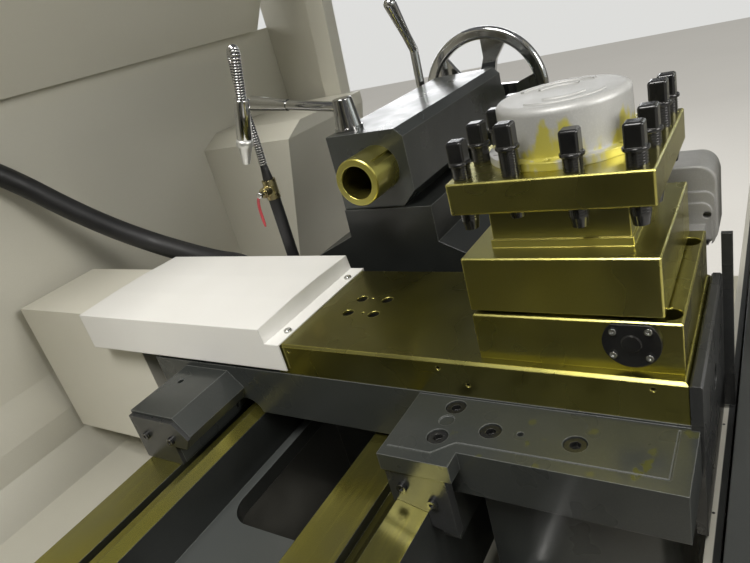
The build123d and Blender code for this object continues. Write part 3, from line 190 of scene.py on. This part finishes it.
def soft_normal(tree, radius):
    """The normal that a rounding of the edges gives."""
    return node(tree, "Bevel", {"Radius": radius}, samples=4).outputs["Normal"]


def edges(tree, soft, low=0.002, high=0.06):
    """A mask of a piece's edges, from its softened normal."""
    true = node(tree, "NewGeometry").outputs["Normal"]
    dot = node(tree, "VectorMath", {0: soft, 1: true}, operation="DOT_PRODUCT").outputs["Value"]
    return spread(tree, math(tree, "SUBTRACT", 1.0, dot), low, high)


def inside(tree, place, limits, soft=0.0006):
    """A mask that is 1 between (axis, low, high) limits of the piece's own space."""
    parts = axes(tree, place)
    mask = None
    for axis, low, high in limits:
        for limit, ends in ((low, (0.0, 1.0)), (high, (1.0, 0.0))):
            if limit is None:
                continue
            side = spread(tree, parts[axis], limit - soft, limit + soft, *ends)
            mask = side if mask is None else math(tree, "MULTIPLY", mask, side)
    return mask


def dots(tree, place, centres, soft=0.0012, ragged=0.003):
    """Round patches at (x, y, radius) places, uneven at the rim."""
    parts = axes(tree, place)
    flat = node(tree, "CombineXYZ", {0: parts[0], 1: parts[1]}).outputs[0]
    uneven = spread(tree, noise(tree, place, 120.0, 2.0), 0.25, 0.75, -ragged, ragged)
    mask = None
    for x, y, radius in centres:
        gap = node(tree, "VectorMath", {0: flat, 1: (x, y, 0)}, operation="DISTANCE")
        gap = math(tree, "ADD", gap.outputs["Value"], uneven)
        patch = spread(tree, gap, radius - soft, radius + soft, 1.0, 0.0)
        mask = patch if mask is None else math(tree, "MAXIMUM", mask, patch)
    return mask


def surface(
    name, tone, other, fleck, rough, metal=0.0, scale=6.0, grain=260.0, bump=0.06, depth=0.0004,
    coat=0.0, coat_tint=None, stretch=(1, 1, 1), rounding=0.0012, edge=None, regions=(),
):
    """A finish: two tones in patches, fine flecks, uneven roughness, a fine grain and edges
    lightened as a painted highlight, partly as wear on cast paint.

    A region is a mask with its own colour, its roughness and, where it has one, its metal share."""
    material = bpy.data.materials.new(name)
    material.use_nodes = True
    tree = material.node_tree
    shader = tree.nodes["Principled BSDF"]
    object_place = node(tree, "TexCoord").outputs["Object"]
    place = scaled(tree, object_place, stretch)
    broad = spread(tree, noise(tree, object_place, scale), *patch_noise)
    fine = noise(tree, place, grain, 2.0)
    colour = mix(tree, broad, (*tone, 1), (*other, 1))
    colour = mix(tree, spread(tree, fine, *fleck_noise, 0, fleck_share), colour, (*fleck, 1))
    gloss = spread(tree, noise(tree, object_place, scale * 2.3, 2.0), *gloss_noise, *rough)
    metallic = metal
    soft = soft_normal(tree, rounding)
    for region in regions:
        mask = region["mask"](tree, object_place)
        own = region["colour"]
        own = own(tree, object_place) if callable(own) else (*own, 1)
        colour = mix(tree, mask, colour, own)
        gloss = mix_value(tree, mask, gloss, region["rough"])
        if "metal" in region:
            metallic = mix_value(tree, mask, metallic, region["metal"])
    # Painted highlight: the edges are mixed towards a lighter tone
    if edge:
        rim = math(tree, "MULTIPLY", edges(tree, soft), edge["share"])
        colour = mix(tree, rim, colour, (*edge["tone"], 1))
    tree.links.new(colour, shader.inputs["Base Color"])
    tree.links.new(gloss, shader.inputs["Roughness"])
    if isinstance(metallic, float):
        shader.inputs["Metallic"].default_value = metallic
    else:
        tree.links.new(metallic, shader.inputs["Metallic"])
    shader.inputs["Coat Weight"].default_value = coat
    shader.inputs["Coat Roughness"].default_value = coat_roughness
    if coat_tint:
        shader.inputs["Coat Tint"].default_value = (*coat_tint, 1)
    relief = node(
        tree, "Bump", {"Strength": bump, "Distance": depth, "Height": fine, "Normal": soft}
    )
    tree.links.new(relief.outputs["Normal"], shader.inputs["Normal"])
    return material


def oily(tree, place):
    """Ground steel under yellow-green oil, with painted shade darkening the ways towards the
    operator.
    """
    broad = spread(tree, noise(tree, place, 5.0), 0.35, 0.7)
    tone = mix(tree, broad, (0.36, 0.33, 0.07, 1), (0.29, 0.275, 0.11, 1))
    front = spread(tree, axes(tree, place)[1], *way_shadow_y, 0.42, 0.0)
    tone = mix(tree, front, tone, (0.10, 0.092, 0.025, 1))
    streak = noise(tree, scaled(tree, place, (1, 14, 14)), 9.0, 3.0)
    return mix(tree, spread(tree, streak, 0.5, 0.75, 0, 0.5), tone, (0.42, 0.38, 0.085, 1))


def ways(tree, place):
    """The ground tops and slopes of the bed's ways."""
    above = inside(tree, place, [(2, way_foot, None)])
    return math(tree, "MULTIPLY", above, spread(tree, facing(tree, 2), 0.3, 0.4))


def lit_bed_flats(tree, place):
    """The bed's flats between the ways, which face up, coloured lighter than its walls as painted
    light.
    """
    below = inside(tree, place, [(2, None, way_foot)])
    return math(tree, "MULTIPLY", below, spread(tree, facing(tree, 2), 0.5, 0.7))


def wing_drops(tree, place):
    """Oil drops and a smear on the tops of the carriage's front wings."""
    level = spread(tree, facing(tree, 2), 0.8, 0.9)
    top = math(tree, "MULTIPLY", level, inside(tree, place, [(2, wing_skin, None)]))
    faint = math(tree, "MULTIPLY", dots(tree, place, wing_spots, 0.002), 0.5)
    strong = math(tree, "MULTIPLY", dots(tree, place, wing_smear, 0.0015), 0.85)
    return math(tree, "MULTIPLY", top, math(tree, "MAXIMUM", faint, strong))


def hole_painted_shade(tree, place):
    """The insides of the slide's holes, darkened as painted shade."""
    limits = [(0, *slide_width), (1, *slide_length), (2, None, slide_top - hole_shade)]
    return inside(tree, place, limits, 0.0003)


def neck_grey(tree, place):
    """The toolpost's neck, which holds less oil."""
    return inside(tree, place, [(2, neck_low, plate_low - plate_gap)])


def cap_oil(tree, place):
    """Ragged oil stains on the cap's side and flange."""
    ragged = noise(tree, scaled(tree, place, (1, 1, 0.55)), 21.0, 4.0, 0.6)
    low = spread(tree, axes(tree, place)[2], stain_low, stain_high, 0.43, 0.64)
    stain = spread(tree, math(tree, "SUBTRACT", ragged, low), -0.02, 0.06, 0.0, 0.85)
    return math(tree, "MULTIPLY", stain, inside(tree, place, [(2, None, stain_end)], 0.002))


def sill_rail_and_hole_shade(tree, place):
    """The dark-painted rail in front of the tray's pale lip, and the lip's two small holes darkened
    as painted shade.
    """
    rail = inside(tree, place, [(1, None, sill_lip)])
    return math(tree, "MAXIMUM", rail, dots(tree, place, sill_holes, 0.0003, 0.0))


def outer_screws(tree, place):
    """The bright screws of the worm's cover and of the white cover."""
    worm = inside(tree, place, [(0, None, worm_screws_x)])
    return math(tree, "MAXIMUM", worm, inside(tree, place, [(1, cover_screws_y, None)]))


# Painted highlights along edges: yellow on oiled steel, and light grey on cast paint, where they
# also stand for worn paint
steel_edge_highlight = {"share": 0.9, "tone": (0.86, 0.78, 0.24)}
cast_tones = [(0.028, 0.031, 0.029), (0.035, 0.038, 0.035), (0.050, 0.053, 0.050)]
cast_edge_highlight_and_wear = {"share": 0.7, "tone": (0.22, 0.23, 0.22)}
steel_tones = [(0.50, 0.465, 0.125), (0.43, 0.41, 0.165), (0.60, 0.56, 0.17)]


def shade(tones, share):
    return [tuple(part * share for part in tone) for tone in tones]


def steel(name, share, regions=()):
    """Ground steel under oil, as bright as its share of the steel's tones; shares below one are
    painted shade.
    """
    return surface(
        name, *shade(steel_tones, share), (0.22, 0.34), metal=0.97, scale=4, grain=300, bump=0.03,
        coat=0.35 * share, coat_tint=(0.97, 0.92, 0.55), stretch=(1, 12, 1), rounding=0.0018,
        edge=steel_edge_highlight, regions=regions,
    )


def cast_paint(name, share, rough, coat, regions=()):
    """Grey paint on castings, as bright as its share of the cast tones; shares below one are
    painted shade.
    """
    return surface(
        name, *shade(cast_tones, share), rough, scale=7, grain=420, bump=0.05, coat=coat,
        edge=cast_edge_highlight_and_wear, regions=regions,
    )


def guard_paint(name, tones, regions=()):
    """Cream paint on sheet metal."""
    return surface(
        name, *tones, (0.40, 0.54), scale=2.2, grain=520, bump=0.05, rounding=0.002,
        regions=regions,
    )


def bright_metal(name, tones, rough, rounding=0.0012):
    """Chromed steel."""
    return surface(
        name, *tones, rough, metal=1.0, scale=12, grain=200, bump=0.02, rounding=rounding,
    )


looks = {
    "cast": cast_paint("grey machine paint", 1.0, (0.26, 0.38), 0.25),
    # Painted shade: the tailstock's base takes a darker copy of the grey machine paint
    "shaded_cast": cast_paint("machine paint in painted shade", 0.45, (0.30, 0.42), 0.1),
    "saddle": cast_paint(
        "saddle paint and oil", 1.0, (0.26, 0.38), 0.25,
        [{"mask": wing_drops, "colour": (0.070, 0.070, 0.010), "rough": 0.24}],
    ),
    # Painted light and shade on the bed: its walls take a darker share of the cast tones and its
    # up-facing flats a lighter colour
    "bed": cast_paint(
        "bed paint and ground ways", 0.6, (0.28, 0.42), 0.2,
        [
            {"mask": lit_bed_flats, "colour": (0.066, 0.071, 0.068), "rough": 0.34},
            {"mask": ways, "colour": oily, "rough": 0.22, "metal": 0.9},
        ],
    ),
    "ground_steel": steel("oiled ground steel", 1.06),
    "block": steel(
        "oiled block steel", 1.06,
        [{"mask": neck_grey, "colour": (0.36, 0.35, 0.20), "rough": 0.30, "metal": 0.95}],
    ),
    # Painted shade: the turret's base and the cross slide take darker shares of the same oiled
    # steel
    "base": steel("oiled base steel", 0.74),
    "slide": steel(
        "oiled slide steel", 0.52,
        [{"mask": hole_painted_shade, "colour": (0.010, 0.010, 0.008), "rough": 0.5, "metal": 0.0}],
    ),
    "slide_bolts": surface(
        "black and bright screws", (0.012, 0.012, 0.013), (0.018, 0.018, 0.017),
        (0.035, 0.035, 0.032), (0.18, 0.30), metal=0.3, scale=40, grain=500, bump=0.06, coat=0.3,
        regions=[{"mask": outer_screws, "colour": (0.62, 0.62, 0.60), "rough": 0.2, "metal": 1.0}],
    ),
    "plain_steel": surface(
        "turned steel", (0.50, 0.50, 0.49), (0.42, 0.42, 0.42), (0.62, 0.62, 0.60),
        (0.24, 0.38), metal=1.0, scale=9, grain=320, bump=0.04, stretch=(14, 1, 1),
    ),
    "cream_paint": guard_paint(
        "cream guard paint", [(0.67, 0.65, 0.56), (0.645, 0.625, 0.535), (0.70, 0.68, 0.60)],
    ),
    "pale_cream": guard_paint(
        "pale cream paint", [(0.76, 0.735, 0.635), (0.735, 0.71, 0.61), (0.79, 0.77, 0.68)],
    ),
    "tray": guard_paint(
        "tray paint and dark rail", [(0.77, 0.745, 0.645), (0.745, 0.72, 0.62), (0.80, 0.78, 0.69)],
        [{"mask": sill_rail_and_hole_shade, "colour": (0.040, 0.042, 0.040), "rough": 0.34}],
    ),
    "white_paint": surface(
        "white cover paint", (0.87, 0.86, 0.825), (0.84, 0.83, 0.79), (0.90, 0.89, 0.86),
        (0.34, 0.48), scale=4, grain=520, bump=0.04, coat=0.15, rounding=0.0025,
    ),
    "dark_paint": surface(
        "dark plate paint", (0.026, 0.027, 0.027), (0.022, 0.023, 0.023), (0.045, 0.045, 0.045),
        (0.24, 0.36), scale=8, grain=300, bump=0.05, coat=0.2,
        # Painted highlight along the plate's edges
        edge={"share": 0.4, "tone": (0.12, 0.12, 0.11)},
    ),
    "grey_paint": surface(
        "cabinet paint", (0.10, 0.105, 0.11), (0.085, 0.09, 0.095), (0.14, 0.145, 0.15),
        (0.38, 0.52), scale=3, grain=500, bump=0.06, rounding=0.002,
    ),
    "cast_aluminium": surface(
        "cast aluminium", (0.42, 0.415, 0.40), (0.37, 0.365, 0.35), (0.52, 0.515, 0.50),
        (0.42, 0.54), metal=0.35, scale=14, grain=600, bump=0.22, depth=0.0005, rounding=0.002,
    ),
    "cap": surface(
        "oil-stained cast aluminium", (0.50, 0.50, 0.485), (0.45, 0.45, 0.435), (0.58, 0.58, 0.565),
        (0.40, 0.52), metal=0.25, scale=14, grain=600, bump=0.22, depth=0.0005, rounding=0.002,
        regions=[{"mask": cap_oil, "colour": (0.56, 0.50, 0.045), "rough": 0.26}],
    ),
    "black_oxide": surface(
        "black oxide", (0.010, 0.010, 0.011), (0.015, 0.015, 0.014), (0.030, 0.030, 0.028),
        (0.16, 0.26), metal=0.2, scale=40, grain=500, bump=0.06, coat=0.4,
        # Painted highlight on the screws' rims
        edge={"share": 0.35, "tone": (0.12, 0.115, 0.10)},
    ),
    "chrome": bright_metal(
        "chrome", [(0.68, 0.68, 0.68), (0.60, 0.60, 0.60), (0.74, 0.74, 0.73)], (0.07, 0.15),
    ),
    "grey_chrome": bright_metal(
        "grey chrome", [(0.46, 0.46, 0.45), (0.38, 0.38, 0.38), (0.54, 0.54, 0.53)], (0.08, 0.16),
    ),
    "ringed_chrome": bright_metal(
        "ringed chrome", [(0.58, 0.58, 0.58), (0.50, 0.50, 0.50), (0.66, 0.66, 0.65)],
        (0.10, 0.18), rounding=0.0001,
    ),
    "nozzle": surface(
        "satin nozzle", (0.70, 0.70, 0.68), (0.64, 0.64, 0.62), (0.76, 0.76, 0.74),
        (0.28, 0.36), metal=0.7, scale=30, grain=500, bump=0.03,
    ),
    "brass": surface(
        "cast brass", (0.50, 0.44, 0.25), (0.42, 0.37, 0.20), (0.60, 0.54, 0.33),
        (0.22, 0.38), metal=1.0, scale=40, grain=500, bump=0.08,
    ),
    "red_plastic": surface(
        "red vinyl", (0.42, 0.045, 0.055), (0.36, 0.035, 0.045), (0.50, 0.08, 0.09),
        (0.32, 0.45), scale=40, grain=400, bump=0.06,
    ),
    "green_plastic": surface(
        "green plastic", (0.03, 0.36, 0.10), (0.025, 0.30, 0.09), (0.05, 0.42, 0.14),
        (0.22, 0.34), scale=40, grain=400, bump=0.05,
    ),
    "black_rubber": surface(
        "black rubber", (0.013, 0.013, 0.014), (0.018, 0.018, 0.019), (0.028, 0.028, 0.029),
        (0.42, 0.58), scale=14, grain=600, bump=0.14,
    ),
    "window": surface(
        "window", (0.80, 0.84, 0.83), (0.76, 0.81, 0.80), (0.84, 0.87, 0.86),
        (0.06, 0.14), scale=5, grain=120, bump=0.02,
    ),
}
looks["window"].node_tree.nodes["Principled BSDF"].inputs["Transmission Weight"].default_value = 0.9

# Each solid takes the look of its material slot, or its own
slots = {entry["node"]: entry["material_slot"] for entry in frame["record"]["subparts"]}
own_look = {
    "bed": "bed", "chip_tray": "tray", "saddle": "saddle", "cross_slide": "slide",
    "slide_screws": "slide_bolts", "turret_base": "base", "tool_block": "block",
    "turret_cap": "cap", "motor_housing": "pale_cream", "quill_lock_lever": "grey_chrome",
    "tailstock_base": "shaded_cast",
}
for name, thing in cad.items():
    thing.data.materials.clear()
    thing.data.materials.append(looks[own_look.get(name, slots[name])])


def piece(name, verts, faces, look, smooth=True):
    """A made mesh with its finish; only its four-cornered faces are smooth."""
    data = bpy.data.meshes.new(name)
    data.from_pydata([tuple(v) for v in verts], [], faces)
    data.materials.append(looks[look])
    for face in data.polygons:
        face.use_smooth = smooth and len(face.vertices) == 4
    thing = bpy.data.objects.new(name, data)
    bpy.context.scene.collection.objects.link(thing)
    return thing


def smooth_line(points, steps=10):
    """Points along the smooth curve that a route's control points give."""
    data = bpy.data.curves.new("route", "CURVE")
    data.dimensions = "3D"
    line = data.splines.new("NURBS")
    line.points.add(len(points) - 1)
    for point, place in zip(line.points, points):
        point.co = (*place, 1)
    line.order_u = 3
    line.use_endpoint_u = True
    line.resolution_u = steps
    carrier = bpy.data.objects.new("route", data)
    bpy.context.scene.collection.objects.link(carrier)
    bpy.context.view_layer.update()
    drawn = carrier.evaluated_get(bpy.context.evaluated_depsgraph_get())
    mesh = bpy.data.meshes.new_from_object(drawn)
    line_points = [v.co.copy() for v in mesh.vertices]
    bpy.data.objects.remove(carrier)
    bpy.data.meshes.remove(mesh)
    return line_points


def even_steps(line, step):
    """Points at equal distances along a line of points."""
    points, carried = [line[0]], 0.0
    for before, after in zip(line, line[1:]):
        way = (after - before).length
        while way > 0 and carried + way >= step:
            before = before + (after - before) * ((step - carried) / way)
            points.append(before)
            way, carried = (after - before).length, 0.0
        carried += way
    return points


def ring(centre, across, other, radius, sides):
    """Corners around a circle that two directions span."""
    corners = []
    for k in range(sides):
        turn = 2 * pi * k / sides
        corners.append(centre + (across * cos(turn) + other * sin(turn)) * radius)
    return corners


def ring_faces(rings, sides):
    """The faces over a row of rings of corners, and one at each end."""
    faces = []
    for i in range(rings - 1):
        for k in range(sides):
            a, b = i * sides + k, i * sides + (k + 1) % sides
            faces.append((a, b, b + sides, a + sides))
    last = (rings - 1) * sides
    faces.append(tuple(range(sides))[::-1])
    faces.append(tuple(range(last, last + sides)))
    return faces


def tube(name, line, radii, sides, look):
    """A round tube along a line of points, with one radius for each point."""
    verts = []
    across = (line[1] - line[0]).orthogonal().normalized()
    for i, centre in enumerate(line):
        ahead = line[min(i + 1, len(line) - 1)] - line[max(i - 1, 0)]
        if ahead.length > 1e-7:
            ahead.normalize()
            across = (across - ahead * across.dot(ahead)).normalized()
            other = ahead.cross(across)
        verts += ring(centre, across, other, radii[i], sides)
    return piece(name, verts, ring_faces(len(line), sides), look)


def spun(name, foot, tip, profile, sides, look):
    """A turned piece between two points, from (share of the way, radius) steps."""
    start, way = Vector(foot), Vector(tip) - Vector(foot)
    across = way.orthogonal().normalized()
    other = way.normalized().cross(across)
    verts = []
    for share, radius in profile:
        verts += ring(start + way * share, across, other, radius, sides)
    return piece(name, verts, ring_faces(len(profile), sides), look)


# The cable conduit from the carriage to the rear guard
conduit_line = smooth_line(conduit_route)
conduit_radii = [conduit_radius] * len(conduit_line)
conduit = tube(
    "conduit", conduit_line, conduit_radii, conduit_sides, "black_rubber",
)
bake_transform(conduit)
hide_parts("cable_conduit")

# The coolant gooseneck: ringed neck over a dark core, plain tube, nozzle and connector
neck_line = even_steps(smooth_line(riser_route, 64), ring_pitch / ring_steps)
neck_radii, core_radii = [], []
for i in range(len(neck_line)):
    widen = min(max(i / len(neck_line) - neck_widens_at, 0.0) * neck_widens_by, 1.0)
    ridge = sin(pi * (i % ring_steps) / ring_steps)
    neck_radii.append(ring_root + neck_widening * widen + ring_height * ridge)
    core_radii.append(core_radius + neck_widening * widen)
neck = tube("gooseneck_rings", neck_line, neck_radii, neck_sides, "ringed_chrome")
core = tube(
    "gooseneck_core", neck_line[::core_every], core_radii[::core_every], core_sides,
    "black_rubber",
)
head = [(0.0, 0.007), (0.0, 0.0115), (0.02, 0.0122), (0.97, 0.0128), (1.0, 0.0122), (1.0, 0.006)]
nozzle_tube = spun(
    "nozzle_tube", riser_route[-1], nozzle_joint, head, nozzle_sides, "chrome",
)
taper = [
    (0.0, 0.009), (0.0, 0.0125), (0.10, 0.0140), (0.26, 0.0138), (0.32, 0.0112), (0.96, 0.0066),
    (1.0, 0.0062), (1.0, 0.0048), (0.72, 0.0046),
]
nozzle_cone = spun(
    "nozzle_cone", nozzle_joint, nozzle_tip, taper, nozzle_sides, "nozzle",
)
sleeve = [(0.0, 0.0085), (0.05, 0.0088), (0.70, 0.0068), (1.0, 0.0060)]
connector = spun(
    "riser_connector", riser_foot, riser_route[0], sleeve, connector_sides,
    "black_rubber",
)
for made in (neck, core, nozzle_tube, nozzle_cone, connector):
    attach(made, "carriage")
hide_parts("coolant_gooseneck")

# The coolant valve's curved blade, narrower at its ends, and its nut
blade_verts = []
blade_line = smooth_line(lever_line, 8)
for i, point in enumerate(blade_line):
    end = min(i, len(blade_line) - 1 - i)
    wide = blade_wide * min(1.0, blade_end_share + blade_end_step * end)
    for k in range(blade_sides):
        turn = 2 * pi * k / blade_sides
        blade_verts.append(
            (point.x + blade_thick * cos(turn), point.y + wide * sin(turn), point.z)
        )
blade_faces = ring_faces(len(blade_line), blade_sides)
blade = piece("tap_blade", blade_verts, blade_faces, "red_plastic")
nut_profile = [
    (0.0, 0.003), (0.0, 0.0052), (0.08, 0.0060), (0.55, 0.0060), (0.60, 0.0045), (1.0, 0.0045),
]
nut = spun("tap_nut", nut_foot, nut_tip, nut_profile, nut_sides, "chrome")
for made in (blade, nut):
    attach(made, "coolant_tap")
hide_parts("valve_lever")


def thread(verts, faces, x, y, low, high):
    """A helical ridge around a clamping screw between two heights."""
    steps = int((high - low) / thread_pitch * thread_sides)
    shift = len(verts)
    root, crest = clamp_radius - thread_sunk, clamp_radius + thread_proud
    ridge = (
        (root, 0.0), (crest, thread_pitch * thread_crest), (root, thread_pitch * thread_end),
    )
    for i in range(steps + 1):
        turn = 2 * pi * i / thread_sides
        z = low + thread_pitch * i / thread_sides
        for radius, rise in ridge:
            verts.append((x + radius * cos(turn), y + radius * sin(turn), min(z + rise, high)))
    for i in range(steps):
        for k in range(2):
            a = shift + 3 * i + k
            faces.append((a, a + 3, a + 4, a + 1))


thread_verts, thread_faces = [], []
for side, lifts in enumerate(clamp_lifts):
    turn = radians(-90 * side)
    for along, lift in zip(clamp_along, lifts):
        x = turret.x - clamp_offset * cos(turn) - along * sin(turn)
        y = turret.y - clamp_offset * sin(turn) + along * cos(turn)
        thread(thread_verts, thread_faces, x, y, plate_top, plate_top + clamp_up + lift)
        thread(thread_verts, thread_faces, x, y, plate_low - clamp_down + lift, plate_low)
threads = piece("clamp_threads", thread_verts, thread_faces, "black_oxide")
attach(threads, "toolpost")


def raised_band(verts, faces, radius, wide, start, stop):
    """A low curved bar on the cap's top."""
    shift = len(verts)
    half, inner = wide / 2, wide / 2 - band_slope
    section = ((-half, -band_sunk), (-inner, band_rise), (inner, band_rise), (half, -band_sunk))
    for i in range(band_steps + 1):
        turn = radians(start + (stop - start) * i / band_steps)
        for offset, lift in section:
            place = turret + Vector((cos(turn), sin(turn), 0)) * (radius + offset)
            verts.append((place.x, place.y, cap_top + lift))
    for i in range(band_steps):
        for k in range(3):
            a = shift + 4 * i + k
            faces.append((a, a + 1, a + 5, a + 4))
    last = shift + 4 * band_steps
    faces.append(tuple(range(shift, shift + 4)))
    faces.append(tuple(range(last, last + 4))[::-1])


band_verts, band_faces = [], []
for arc in band_arcs:
    raised_band(band_verts, band_faces, *arc)
bands = piece("cap_bands", band_verts, band_faces, "cap", smooth=False)
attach(bands, "toolpost")

# Floor, which shows at an even tone to the camera, and fainter in bright metal
floor_reach = 9
floor_glow, floor_in_gloss = (0.32, 0.308, 0.28, 1), 0.35
ground = bpy.data.meshes.new("floor")
corners = [(-1, -1), (1, -1), (1, 1), (-1, 1)]
ground.from_pydata([(floor_reach * x, floor_reach * y, 0) for x, y in corners], [], [(0, 1, 2, 3)])
floor = bpy.data.objects.new("floor", ground)
bpy.context.scene.collection.objects.link(floor)
pale = surface(
    "pale floor", (0.54, 0.525, 0.49), (0.50, 0.485, 0.455), (0.58, 0.565, 0.53), (0.5, 0.65),
    scale=0.8, grain=90, bump=0.05,
)
floor_rays = node(pale.node_tree, "LightPath").outputs
floor_glossy = math(pale.node_tree, "MULTIPLY", floor_rays["Is Glossy Ray"], floor_in_gloss)
floor_seen = math(pale.node_tree, "MAXIMUM", floor_rays["Is Camera Ray"], floor_glossy)
floor_shader = pale.node_tree.nodes["Principled BSDF"]
floor_shader.inputs["Emission Color"].default_value = floor_glow
pale.node_tree.links.new(floor_seen, floor_shader.inputs["Emission Strength"])
ground.materials.append(pale)


def lamp(name, place, aim, size, power, tone):
    """A soft rectangular lamp, in metres and watts."""
    data = bpy.data.lights.new(name, "AREA")
    data.shape = "RECTANGLE"
    data.size, data.size_y = size
    data.energy = power
    data.color = tone
    thing = bpy.data.objects.new(name, data)
    thing.location = place
    thing.rotation_mode = "QUATERNION"
    thing.rotation_quaternion = (Vector(aim) - Vector(place)).to_track_quat("-Z", "Y")
    bpy.context.scene.collection.objects.link(thing)


warm, neutral, cool = (1.0, 0.98, 0.94), (1.0, 0.99, 0.97), (0.98, 0.99, 1.0)
lamp("ceiling", (-3.2, -0.5, 6.8), (0.05, 0.0, 0.95), (3.4, 2.0), 450, warm)
lamp("doorway", (0.1, -2.6, 2.1), (-0.1, 0.6, 1.05), (1.2, 1.0), 44, warm)
lamp("far window", (3.9, 1.6, 1.75), (0.4, -0.2, 1.1), (3.0, 0.55), 22, cool)
lamp("front fill", (2.4, -3.2, 1.8), (0.3, -0.7, 0.8), (2.0, 1.4), 8, neutral)
lamp("rear fill", (0.2, 3.6, 2.3), (0.0, 0.6, 0.9), (2.6, 1.6), 60, neutral)

# World: white to the camera and through glass, faint on the object and in bright metal
sky_low, sky_high, sky_heights = (0.72, 0.72, 0.70, 1), (0.80, 0.81, 0.82, 1), (-0.2, 0.7)
sky_on_object, sky_in_gloss, sky_seen = 0.10, 0.17, 1.0
world = bpy.data.worlds.new("studio")
bpy.context.scene.world = world
world.use_nodes = True
sky = world.node_tree
height = axes(sky, node(sky, "TexCoord").outputs["Generated"])[2]
glow = mix(sky, spread(sky, height, *sky_heights), sky_low, sky_high)
rays = node(sky, "LightPath").outputs
seen = math(sky, "MAXIMUM", rays["Is Camera Ray"], rays["Is Transmission Ray"])
strength = spread(sky, seen, 0.0, 1.0, sky_on_object, sky_seen)
glossy = math(sky, "MULTIPLY", rays["Is Glossy Ray"], sky_in_gloss)
strength = math(sky, "MAXIMUM", strength, glossy)
sky.links.new(glow, sky.nodes["Background"].inputs["Color"])
sky.links.new(strength, sky.nodes["Background"].inputs["Strength"])

# Camera, as fitted to the photograph
camera_place = (-0.3733, -0.6072, 1.3108)
camera_ahead, camera_upward = (0.7349, 0.5467, -0.4013), (0.4697, 0.0165, 0.8827)
focal_px, photo_px, sensor_mm = 618.68, 750, 36.0
camera = bpy.data.objects.new("camera", bpy.data.cameras.new("camera"))
bpy.context.scene.collection.objects.link(camera)
bpy.context.scene.camera = camera
forward = Vector(camera_ahead).normalized()
right = forward.cross(Vector(camera_upward)).normalized()
up = right.cross(forward)
turned = Matrix((right, up, -forward)).transposed().to_4x4()
camera.matrix_world = Matrix.Translation(camera_place) @ turned
camera.data.sensor_width = sensor_mm
camera.data.lens = focal_px / photo_px * sensor_mm
camera.data.clip_start = 0.02

bpy.context.scene.view_settings.view_transform = "Standard"
